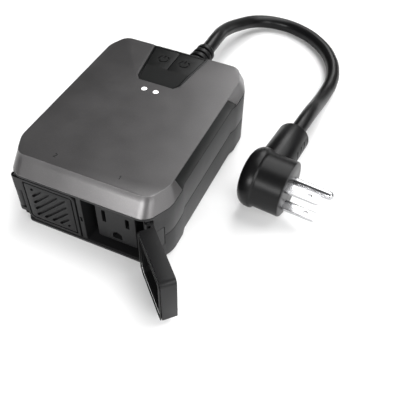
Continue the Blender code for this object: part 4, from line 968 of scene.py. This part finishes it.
# ---------------------------------------------------------------- covers and hinges
def cover_end():
    """How far a cover reaches from its hinge axis."""
    return COVER_HIGH.x + HINGE_X


def cover_outline(margin=0.0):
    """A cover's face as (distance from the hinge axis, z). A margin shrinks it."""
    end = cover_end() - margin
    low, high = COVER_LOW.z + margin, COVER_HIGH.z - margin
    slope = COVER_CHAMFER[1] / COVER_CHAMFER[0]
    rise = COVER_LOW.z + COVER_CHAMFER[1] - slope * (COVER_ROOT + margin) + margin * 1.2
    foot = COVER_CHAMFER[0] - (margin - margin * 1.2) / slope
    radius = max(COVER_ROUND - margin, 0.0008)
    return rounded([
        (COVER_ROOT + margin, max(rise, low + 0.0001), 0.0),
        (foot, low, 0.0),
        (end, low, 0.0010 if margin == 0.0 else 0.0005),
        (end, high, radius),
        (COVER_ROOT + margin, high, 0.0),
    ], 5)


def hinge_place(side, angle):
    """Where a cover stands. Its own X runs along it and its -Y faces out when it is closed."""
    turn = Matrix.Rotation(math.radians(angle), 4, "Z")
    return Matrix.Translation((side * HINGE_X, HINGE_Y, 0.0)) @ turn


def cover_plate(name, side, outline, front, back):
    handed = [(-side * s, z) for s, z in outline]
    return upright_prism(name, handed, front, back)


def cover_block(name, side, s_range, y_range, z_range):
    return block(name, (-side * s_range[0], y_range[0], z_range[0]),
                 (-side * s_range[1], y_range[1], z_range[1]))


def grille_slots(side, front, width):
    """Cutters for the diagonal slots, which rise to the right and have round ends."""
    span = cover_end() - COVER_ROOT - 2 * GRILLE_BORDER
    rise = COVER_HIGH.z - COVER_LOW.z - 2 * GRILLE_BORDER
    middle = (COVER_ROOT + GRILLE_BORDER + span / 2, COVER_LOW.z + GRILLE_BORDER + rise / 2)
    reach = min(span, rise) / 2 - 0.0024
    tools = []
    for i in range(GRILLE_SLOTS):
        offset = (i - (GRILLE_SLOTS - 1) / 2) * GRILLE_PITCH
        half = max(math.sqrt(2) * reach - abs(offset), 0.0) - width / 2
        half = max(half, 0.00005)
        arc = [math.pi * k / 8 for k in range(9)]
        points = [(half + width / 2 * math.sin(a), width / 2 * math.cos(a)) for a in arc]
        points += [(-half - width / 2 * math.sin(a), -width / 2 * math.cos(a)) for a in arc]
        x = -side * middle[0] + offset / math.sqrt(2)
        z = middle[1] - offset / math.sqrt(2)
        turned_points = [(x + (u - v) / math.sqrt(2), z + (u + v) / math.sqrt(2))
                         for u, v in points]
        tools.append(upright_prism("slot", turned_points, front - 0.001, front + 0.002))
    return tools


def make_cover(sizes, side, angle):
    """One hinged cover: shell with knuckles and ribs, slotted grille and gasket."""
    label = "left" if side < 0 else "right"
    at = hinge_place(side, angle)
    outer = -KNUCKLE_RADIUS
    inner = outer + COVER_DEPTH
    low, high = COVER_LOW.z, COVER_HIGH.z
    notch = (KEEPER_LOW.z - GAP, KEEPER_HIGH.z + GAP)
    cover = cover_plate(label + "_bay_cover", side, cover_outline(), outer, inner)
    soften(cover, sizes.edge_round, 3)
    tools = [cover_plate("hollow", side, cover_outline(COVER_WALL), outer + 2 * COVER_WALL,
                         inner + 0.002)]
    rim_step = cover_plate("rim_step", side, cover_outline(COVER_WALL * 0.5), inner - 0.0007,
                           inner + 0.002)
    carve(cover, tools + [rim_step])
    joined = [cover_block("leaf", side, (0.0, COVER_ROOT + 0.0005), (outer, outer + COVER_WALL),
                          (low + COVER_CHAMFER[1], high - 0.0002)),
              rod("knuckle", KNUCKLE_RADIUS, (0.0, 0.0, low + COVER_CHAMFER[1]),
                  (0.0, 0.0, high - 0.0002), 40)]
    outlet_front = OUTLET_LOW.y - HINGE_Y
    for share in (0.30, 0.62):
        s = COVER_ROOT + share * (cover_end() - COVER_ROOT)
        joined.append(cover_block("rib", side, (s, s + 0.0008),
                                  (outer + 2 * COVER_WALL - 0.0002, outlet_front - 0.0006),
                                  (low + COVER_WALL / 2, high - COVER_WALL / 2)))
    catch_z = (low + high) / 2
    joined.append(cover_block("catch", side, (cover_end() - COVER_WALL - 0.0009,
                                              cover_end() - COVER_WALL + 0.0003),
                              (inner - 0.0032, inner - 0.0010),
                              (catch_z - 0.0022, catch_z + 0.0022)))
    for z in (low + 0.0038, high - 0.0038):
        s = cover_end() - 0.0040
        peg = rod("corner_post", 0.0011, (-side * s, outer + 2 * COVER_WALL - 0.0003, z),
                  (-side * s, outlet_front - 0.0006, z), 24)
        joined.append(peg)
    carve(cover, joined, "UNION")
    cuts = [cover_block("notch", side, (-0.004, COVER_ROOT - GAP), (-0.004, 0.004), notch),
            rod("bore", 0.0011, (0.0, 0.0, low), (0.0, 0.0, high + 0.01), 24)]
    groove = sizes.grille_groove
    cuts.append(cover_plate("grille_groove", side, cover_outline(GRILLE_BORDER - groove),
                            outer - 0.001, outer + 0.0012))
    carve(cover, cuts)
    show(moved(cover, at), label + "_cover", "cover_plastic", [label + "_cover"])

    grille = cover_plate(label + "_slotted_grille", side, cover_outline(GRILLE_BORDER),
                         outer, outer + 0.0011)
    soften(grille, 0.00015, 2)
    carve(grille, grille_slots(side, outer, sizes.grille_slot))
    show(moved(grille, at), label + "_cover", "cover_plastic", [label + "_cover_grille"])

    gasket = skin(label + "_rim_gasket", [
        [Vector((-side * s, y, z)) for s, z in cover_outline(margin)]
        for margin, y in ((0.0004, inner + GAP), (0.0003, inner + GAP + 0.0003),
                          (0.0005, inner + GAP + 0.0006), (0.0010, inner + GAP + 0.0006),
                          (0.0012, inner + GAP + 0.0003), (0.0011, inner + GAP))
    ], closed=False)
    shape = bmesh.new()
    shape.from_mesh(gasket.data)
    count = len(cover_outline())
    shape.verts.ensure_lookup_table()
    last = len(shape.verts) - count
    for i in range(count):
        j = (i + 1) % count
        shape.faces.new([shape.verts[k] for k in (i, j, last + j, last + i)])
    bmesh.ops.recalc_face_normals(shape, faces=shape.faces)
    shape.to_mesh(gasket.data)
    shape.free()
    show(moved(gasket, at), label + "_cover", "seal_rubber", [label + "_cover_gasket"])


def make_keeper(side):
    """The block in a front corner that holds a hinge pin, flush with the shell."""
    label = "left" if side < 0 else "right"
    outline = lid_outline(0.0)
    keeper = prism(label + "_pin_keeper", outline, KEEPER_LOW.z - 0.002, KEEPER_HIGH.z + 0.002)
    near = side * (BEZEL_HIGH.x + 2 * GAP)
    far = side * KEEPER_HIGH.x
    block_in = block("keeper_block", (near, FRONT - 0.001, KEEPER_LOW.z),
                     (far, KEEPER_HIGH.y, KEEPER_HIGH.z))
    carve(keeper, [block_in], "INTERSECT")
    boss = rod("boss", KNUCKLE_RADIUS - 0.0001, (side * HINGE_X, HINGE_Y, KEEPER_LOW.z),
               (side * HINGE_X, HINGE_Y, KEEPER_HIGH.z), 40)
    carve(keeper, [boss], "UNION")
    carve(keeper, [rod("bore", 0.0011, (side * HINGE_X, HINGE_Y, 0.0),
                       (side * HINGE_X, HINGE_Y, TOP), 24)])
    show(keeper, "housing", "shell_plastic", [label + "_hinge_keeper"])


# ---------------------------------------------------------------- cord and plug
def make_relief(sizes):
    """The strain relief with rounded ribs, about the cord's line at the rear."""
    wall = LENGTH - WALL
    end = LENGTH + 0.0310
    start = LENGTH + 0.0060
    base, tip = 0.0076, 0.0056
    pitch = (end - start) / sizes.relief_ribs
    profile = [(0.0090, wall - GAP - 0.0022), (0.0090, wall - GAP), (0.0070, wall - GAP),
               (0.0070, LENGTH + GAP), (base + 0.0002, LENGTH + GAP),
               (base + 0.0004, LENGTH + GAP + 0.0003), (base + 0.0004, start - pitch * 0.40),
               (base + 0.0001, start - pitch * 0.30)]
    for i in range(sizes.relief_ribs):
        near = start + i * pitch
        radius = base + (tip - base) * i / sizes.relief_ribs
        groove = radius - 0.0012
        profile += [(groove, near - pitch * 0.22), (groove - 0.0001, near - pitch * 0.10),
                    (groove, near)]
        for turn in (0, 30, 60, 90):
            a = math.radians(turn)
            profile.append((radius - 0.0005 + 0.0005 * math.sin(a),
                            near + pitch * 0.16 - pitch * 0.12 * math.cos(a)))
        for turn in (90, 60, 30, 0):
            a = math.radians(turn)
            profile.append((radius - 0.0005 + 0.0005 * math.sin(a),
                            near + pitch * 0.56 + pitch * 0.12 * math.cos(a)))
    profile += [(tip - 0.0006, end - 0.0003), (tip - 0.0010, end)]
    relief = turned("ribbed_strain_relief", profile, 64)
    place_at = Matrix.Translation((0.0, FRONT, RELIEF_Z)) @ Matrix.Rotation(-math.pi / 2, 4, "X")
    return show(moved(relief, place_at), "housing", "seal_rubber", ["strain_relief"], 35.0)


def plug_place():
    turn = Matrix.Rotation(math.radians(PLUG_TURN), 4, "Z")
    return Matrix.Translation(PLUG_FACE) @ turn


def make_plug():
    """The right-angle plug on its side, its two blades and its ground pin."""
    at = plug_place()
    radius, back, edge = PLUG_RADIUS, PLUG_BACK_RADIUS, PLUG_EDGE
    length, body = PLUG_LENGTH, PLUG_BODY_LENGTH
    depth = length - body - 0.0034
    profile = []
    for i in range(9):
        turn = math.pi / 2 * i / 8
        profile.append((back - depth + depth * math.sin(turn),
                        -length + depth - depth * math.cos(turn)))
    profile += [(back, -body - 0.0019), (back - 0.0002, -body - 0.0012),
                (radius + 0.0004, -body - 0.0006), (radius, -body + 0.0002), (radius, -edge),
                (radius - edge * 0.3, -edge * 0.3), (radius - edge, 0.0)]
    head = turned("plug_head", profile, 96)
    moved(head, Matrix.Rotation(math.pi / 2, 4, "Y"))
    wide, end = COLLAR_RADIUS, COLLAR_END
    rows = [(wide, 0.0), (wide, end - 0.0200), (wide - 0.0002, end - 0.0012),
            (wide - 0.0005, end - 0.0005), (wide - 0.0012, end)]
    collar = turned("collar", rows, 64)
    moved(collar, Matrix.Translation((-COLLAR_BACK, 0.0, 0.0))
          @ Matrix.Rotation(-math.pi / 2, 4, "X"))
    carve(head, [collar], "UNION")
    tools = []
    for i in range(4):
        slot = block("flex_slot", (-0.0006, -0.0045, -0.0012), (0.0030, 0.0045, 0.0012))
        shift = Matrix.Translation((-COLLAR_BACK + wide - 0.0011, 0.0215 + i * 0.0046, 0.0))
        tilt = Matrix.Rotation(math.radians(55), 4, "X")
        tools.append(moved(slot, shift @ tilt @ Matrix.Scale(0.38, 4, (0, 0, 1))))
    line, half, thick = BLADE_LINE, BLADE_HALF_WIDTH, BLADE_HALF_THICKNESS
    pitch, root, fit = SLOT_PITCH / 2, BLADE_ROOT, SOCKET_FIT
    for z in (pitch, -pitch):
        tools.append(block("blade_socket", (-root, line - half - fit, z - thick - fit),
                           (0.002, line + half + fit, z + thick + fit)))
    pin_y, pin_radius = line + GROUND_DROP, GROUND_PIN_RADIUS
    tools.append(rod("pin_socket", pin_radius + fit, (-root, pin_y, 0.0), (0.002, pin_y, 0.0), 48))
    carve(head, tools)
    pieces = [show(moved(head, at), "housing", "cord_vinyl", ["plug_body"], 30.0)]

    reach = BLADE_LENGTH
    for z, name in ((pitch, "plug_neutral_blade"), (-pitch, "plug_hot_blade")):
        outline = rounded([(-root, line - half, 0.0), (reach, line - half, 0.0016),
                           (reach, line + half, 0.0016), (-root, line + half, 0.0)], 8)
        blade = prism(name + "_plated", outline, z - thick, z + thick)
        soften(blade, 0.00022, 3, 50.0)
        hole = rod("blade_hole", BLADE_HOLE, (reach - 0.0055, line, z - 0.002),
                   (reach - 0.0055, line, z + 0.002), 40)
        carve(blade, [hole])
        pieces.append(show(moved(blade, at), "housing", "nickel_plate", [name], 25.0))
    tip = GROUND_PIN_LENGTH
    rows = [(pin_radius, -root), (pin_radius, tip - pin_radius)]
    rows += [(pin_radius * math.cos(a), tip - pin_radius + pin_radius * math.sin(a))
             for a in [math.pi / 2 * i / 9 for i in range(1, 9)]]
    pin = turned("ground_pin_plated", rows, 48)
    moved(pin, Matrix.Translation((0.0, pin_y, 0.0)) @ Matrix.Rotation(math.pi / 2, 4, "Y"))
    pieces.append(show(moved(pin, at), "housing", "nickel_plate", ["plug_ground_pin"], 40.0))
    return pieces


def make_cord_set(sizes):
    """The cord on its resting route, with its strain relief and plug."""
    relief = make_relief(sizes)
    plug = make_plug()
    curve = bpy.data.curves.new("supply_cord", "CURVE")
    curve.dimensions = "3D"
    curve.bevel_depth = sizes.cord_diameter / 2
    curve.bevel_resolution = 8
    curve.resolution_u = 10
    curve.use_fill_caps = True
    spline = curve.splines.new("BEZIER")
    spline.bezier_points.add(len(CORD_ROUTE) - 1)
    for point, place_at in zip(spline.bezier_points, CORD_ROUTE):
        point.co = place_at
        point.handle_left_type = "AUTO"
        point.handle_right_type = "AUTO"
    cord = bpy.data.objects.new("supply_cord", curve)
    bpy.context.scene.collection.objects.link(cord)
    curve.materials.append(finish_of("cord_vinyl"))
    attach(cord, "housing")
    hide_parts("cord")


def finish_remaining_nodes():
    """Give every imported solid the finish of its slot, the hidden ones too."""
    for part in frame["record"]["subparts"]:
        node = frame["nodes"][part["node"]]
        material = finish_of(part["material_slot"])
        if not node.material_slots:
            node.data.materials.append(material)
        for entry in node.material_slots:
            entry.link = "OBJECT"
            entry.material = material


# ---------------------------------------------------------------- stage
def floor_finish():
    """Matt, very slightly mottled white."""
    colour = bpy.context.scene.smart_plug_colours.floor
    material = bpy.data.materials.new("pale_floor")
    material.use_nodes = True
    tree = material.node_tree
    shader = tree.nodes["Principled BSDF"]
    shader.inputs["Roughness"].default_value = 0.9
    place_in = tree.nodes.new("ShaderNodeTexCoord").outputs["Object"]
    cloudy = noise(tree, place_in, 2.0, 2.0)
    base = blended(tree, mapped(tree, cloudy, 0.0, 1.0), tuple(c * 0.99 for c in colour), colour)
    tree.links.new(base, shader.inputs["Base Color"])
    return material


def softbox(name, place_at, aim, size, power):
    """A rectangular light at one place that faces another."""
    light = bpy.data.lights.new(name, "AREA")
    light.shape = "RECTANGLE"
    light.size, light.size_y = size
    light.energy = power
    lamp = bpy.data.objects.new(name, light)
    lamp.location = place_at
    lamp.rotation_euler = (Vector(aim) - Vector(place_at)).to_track_quat("-Z", "Y").to_euler()
    bpy.context.scene.collection.objects.link(lamp)
    return lamp


# Each softbox: its name, its place, the place it faces, its width and height, and its watts.
SOFTBOXES = (
    ("overhead_softbox", (0.35, 0.55, 1.10), (0.05, 0.0, 0.0), (1.2, 1.2), 19.0),
    ("side_softbox", (0.70, -0.36, 0.32), (0.03, -0.04, 0.03), (0.55, 0.40), 5.0),
    ("front_softbox", (-0.06, -0.85, 0.42), (0.0, 0.0, 0.04), (0.50, 0.24), 8.0),
    ("rear_softbox", (-0.04, 0.85, 0.64), (0.03, 0.0, 0.04), (0.34, 0.40), 2.6),
)
SURROUNDINGS = 0.10
FLOOR_REACH = 3.0

# The camera's turn about Z from the front, its height angle and roll in degrees, its lens in mm.
CAMERA_AZIMUTH = 23.14
CAMERA_HEIGHT_ANGLE = 48.36
CAMERA_ROLL = 1.38
CAMERA_AIM = (0.0475, -0.0257, 0.0200)
CAMERA_DISTANCE = 0.2867
CAMERA_LENS = 52.54


def make_camera():
    """A camera that looks at its aim from the front right and above, with a slight roll."""
    turn, lift = math.radians(CAMERA_AZIMUTH), math.radians(CAMERA_HEIGHT_ANGLE)
    roll = math.radians(CAMERA_ROLL)
    forward = Vector((-math.sin(turn) * math.cos(lift), math.cos(turn) * math.cos(lift),
                      -math.sin(lift)))
    flat_right = forward.cross(Vector((0, 0, 1))).normalized()
    flat_up = flat_right.cross(forward)
    right = math.cos(roll) * flat_right + math.sin(roll) * flat_up
    up = math.cos(roll) * flat_up - math.sin(roll) * flat_right
    data = bpy.data.cameras.new("view_camera")
    data.sensor_width = 36.0
    data.lens = CAMERA_LENS
    data.clip_start = 0.01
    data.dof.use_dof = False
    camera = bpy.data.objects.new("view_camera", data)
    axes = Matrix((right, up, -forward)).transposed().to_4x4()
    place_at = Vector(CAMERA_AIM) - forward * CAMERA_DISTANCE
    camera.matrix_world = Matrix.Translation(place_at) @ axes
    bpy.context.scene.collection.objects.link(camera)
    bpy.context.scene.camera = camera


def make_stage():
    """The pale floor, the even surroundings, the softboxes and the camera."""
    mesh = bpy.data.meshes.new("studio_floor")
    corners = [(x * FLOOR_REACH, y * FLOOR_REACH, 0.0)
               for x, y in ((-1, -1), (1, -1), (1, 1), (-1, 1))]
    mesh.from_pydata(corners, [], [(0, 1, 2, 3)])
    floor = new_piece("studio_floor", mesh)
    floor.data.materials.append(floor_finish())
    world = bpy.data.worlds.new("studio")
    world.use_nodes = True
    backdrop = world.node_tree.nodes["Background"]
    backdrop.inputs["Color"].default_value = (1.0, 1.0, 1.0, 1.0)
    backdrop.inputs["Strength"].default_value = SURROUNDINGS
    scene = bpy.context.scene
    scene.world = world
    scene.view_settings.view_transform = "Standard"
    for box in SOFTBOXES:
        softbox(*box)
    make_camera()


# ---------------------------------------------------------------- operators and panel
COVER_REST_ANGLES = (0.0, 135.0)


class SMARTPLUG_OT_BuildShells(bpy.types.Operator):
    """Build the lower and upper shells."""

    bl_idname = "smart_plug.build_shells"
    bl_label = "Build Shells"
    bl_options = {"REGISTER", "UNDO"}

    def execute(self, context):
        make_shells(context.scene.smart_plug_sizes)
        return {"FINISHED"}


class SMARTPLUG_OT_BuildLid(bpy.types.Operator):
    """Build the painted lid, its side inlays and the outlet numbers."""

    bl_idname = "smart_plug.build_lid"
    bl_label = "Build Lid"
    bl_options = {"REGISTER", "UNDO"}

    def execute(self, context):
        make_lid(context.scene.smart_plug_sizes)
        make_numerals()
        return {"FINISHED"}


class SMARTPLUG_OT_BuildLights(bpy.types.Operator):
    """Build the two status lights."""

    bl_idname = "smart_plug.build_lights"
    bl_label = "Build Lights"
    bl_options = {"REGISTER", "UNDO"}

    def execute(self, context):
        make_lights()
        return {"FINISHED"}


class SMARTPLUG_OT_BuildButtons(bpy.types.Operator):
    """Build the button pad and both buttons."""

    bl_idname = "smart_plug.build_buttons"
    bl_label = "Build Buttons"
    bl_options = {"REGISTER", "UNDO"}

    def execute(self, context):
        make_buttons(context.scene.smart_plug_sizes)
        return {"FINISHED"}


class SMARTPLUG_OT_BuildFrontFrame(bpy.types.Operator):
    """Build the frame with its two outlet bays."""

    bl_idname = "smart_plug.build_front_frame"
    bl_label = "Build Front Frame"
    bl_options = {"REGISTER", "UNDO"}

    def execute(self, context):
        make_front_frame(context.scene.smart_plug_sizes)
        return {"FINISHED"}


class SMARTPLUG_OT_BuildOutlets(bpy.types.Operator):
    """Build both outlets."""

    bl_idname = "smart_plug.build_outlets"
    bl_label = "Build Outlets"
    bl_options = {"REGISTER", "UNDO"}

    def execute(self, context):
        make_outlets()
        return {"FINISHED"}


class SMARTPLUG_OT_BuildCovers(bpy.types.Operator):
    """Build the closed left cover, the open right cover and their hinge keepers."""

    bl_idname = "smart_plug.build_covers"
    bl_label = "Build Covers"
    bl_options = {"REGISTER", "UNDO"}

    def execute(self, context):
        sizes = context.scene.smart_plug_sizes
        for side, angle in zip((-1, 1), COVER_REST_ANGLES):
            make_cover(sizes, side, angle)
        for side in (-1, 1):
            make_keeper(side)
        return {"FINISHED"}


class SMARTPLUG_OT_BuildCord(bpy.types.Operator):
    """Build the cord with its strain relief and plug."""

    bl_idname = "smart_plug.build_cord"
    bl_label = "Build Cord"
    bl_options = {"REGISTER", "UNDO"}

    def execute(self, context):
        make_cord_set(context.scene.smart_plug_sizes)
        return {"FINISHED"}


class SMARTPLUG_OT_FinishNodes(bpy.types.Operator):
    """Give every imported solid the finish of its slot."""

    bl_idname = "smart_plug.finish_nodes"
    bl_label = "Finish Packed Solids"
    bl_options = {"REGISTER", "UNDO"}

    def execute(self, context):
        finish_remaining_nodes()
        return {"FINISHED"}


class SMARTPLUG_OT_BuildStage(bpy.types.Operator):
    """Build the floor, the lights and the camera."""

    bl_idname = "smart_plug.build_stage"
    bl_label = "Build Stage"
    bl_options = {"REGISTER", "UNDO"}

    def execute(self, context):
        make_stage()
        return {"FINISHED"}


OPERATORS = (
    SMARTPLUG_OT_BuildShells,
    SMARTPLUG_OT_BuildLid,
    SMARTPLUG_OT_BuildLights,
    SMARTPLUG_OT_BuildButtons,
    SMARTPLUG_OT_BuildFrontFrame,
    SMARTPLUG_OT_BuildOutlets,
    SMARTPLUG_OT_BuildCovers,
    SMARTPLUG_OT_BuildCord,
    SMARTPLUG_OT_FinishNodes,
    SMARTPLUG_OT_BuildStage,
)


class SMARTPLUG_PT_Panel(bpy.types.Panel):
    """Lists the smart plug's pieces and settings."""

    bl_idname = "SMARTPLUG_PT_panel"
    bl_label = "Outdoor Smart Plug"
    bl_space_type = "VIEW_3D"
    bl_region_type = "UI"
    bl_category = "Smart Plug"

    def draw(self, context):
        layout = self.layout
        for settings in (context.scene.smart_plug_sizes, context.scene.smart_plug_colours):
            column = layout.column()
            for name in settings.__annotations__:
                column.prop(settings, name)
        for operator in OPERATORS:
            layout.operator(operator.bl_idname)


CLASSES = (SmartPlugSizes, SmartPlugColours, *OPERATORS, SMARTPLUG_PT_Panel)


def register():
    for cls in CLASSES:
        bpy.utils.register_class(cls)
    bpy.types.Scene.smart_plug_sizes = bpy.props.PointerProperty(type=SmartPlugSizes)
    bpy.types.Scene.smart_plug_colours = bpy.props.PointerProperty(type=SmartPlugColours)


def unregister():
    del bpy.types.Scene.smart_plug_colours
    del bpy.types.Scene.smart_plug_sizes
    for cls in reversed(CLASSES):
        bpy.utils.unregister_class(cls)


def main():
    register()
    bpy.ops.smart_plug.build_stage()
    bpy.ops.smart_plug.build_cord()
    bpy.ops.smart_plug.build_shells()
    bpy.ops.smart_plug.build_lid()
    bpy.ops.smart_plug.build_lights()
    bpy.ops.smart_plug.build_buttons()
    bpy.ops.smart_plug.build_front_frame()
    bpy.ops.smart_plug.build_outlets()
    bpy.ops.smart_plug.build_covers()
    bpy.ops.smart_plug.finish_nodes()


if __name__ == "__main__":
    main()
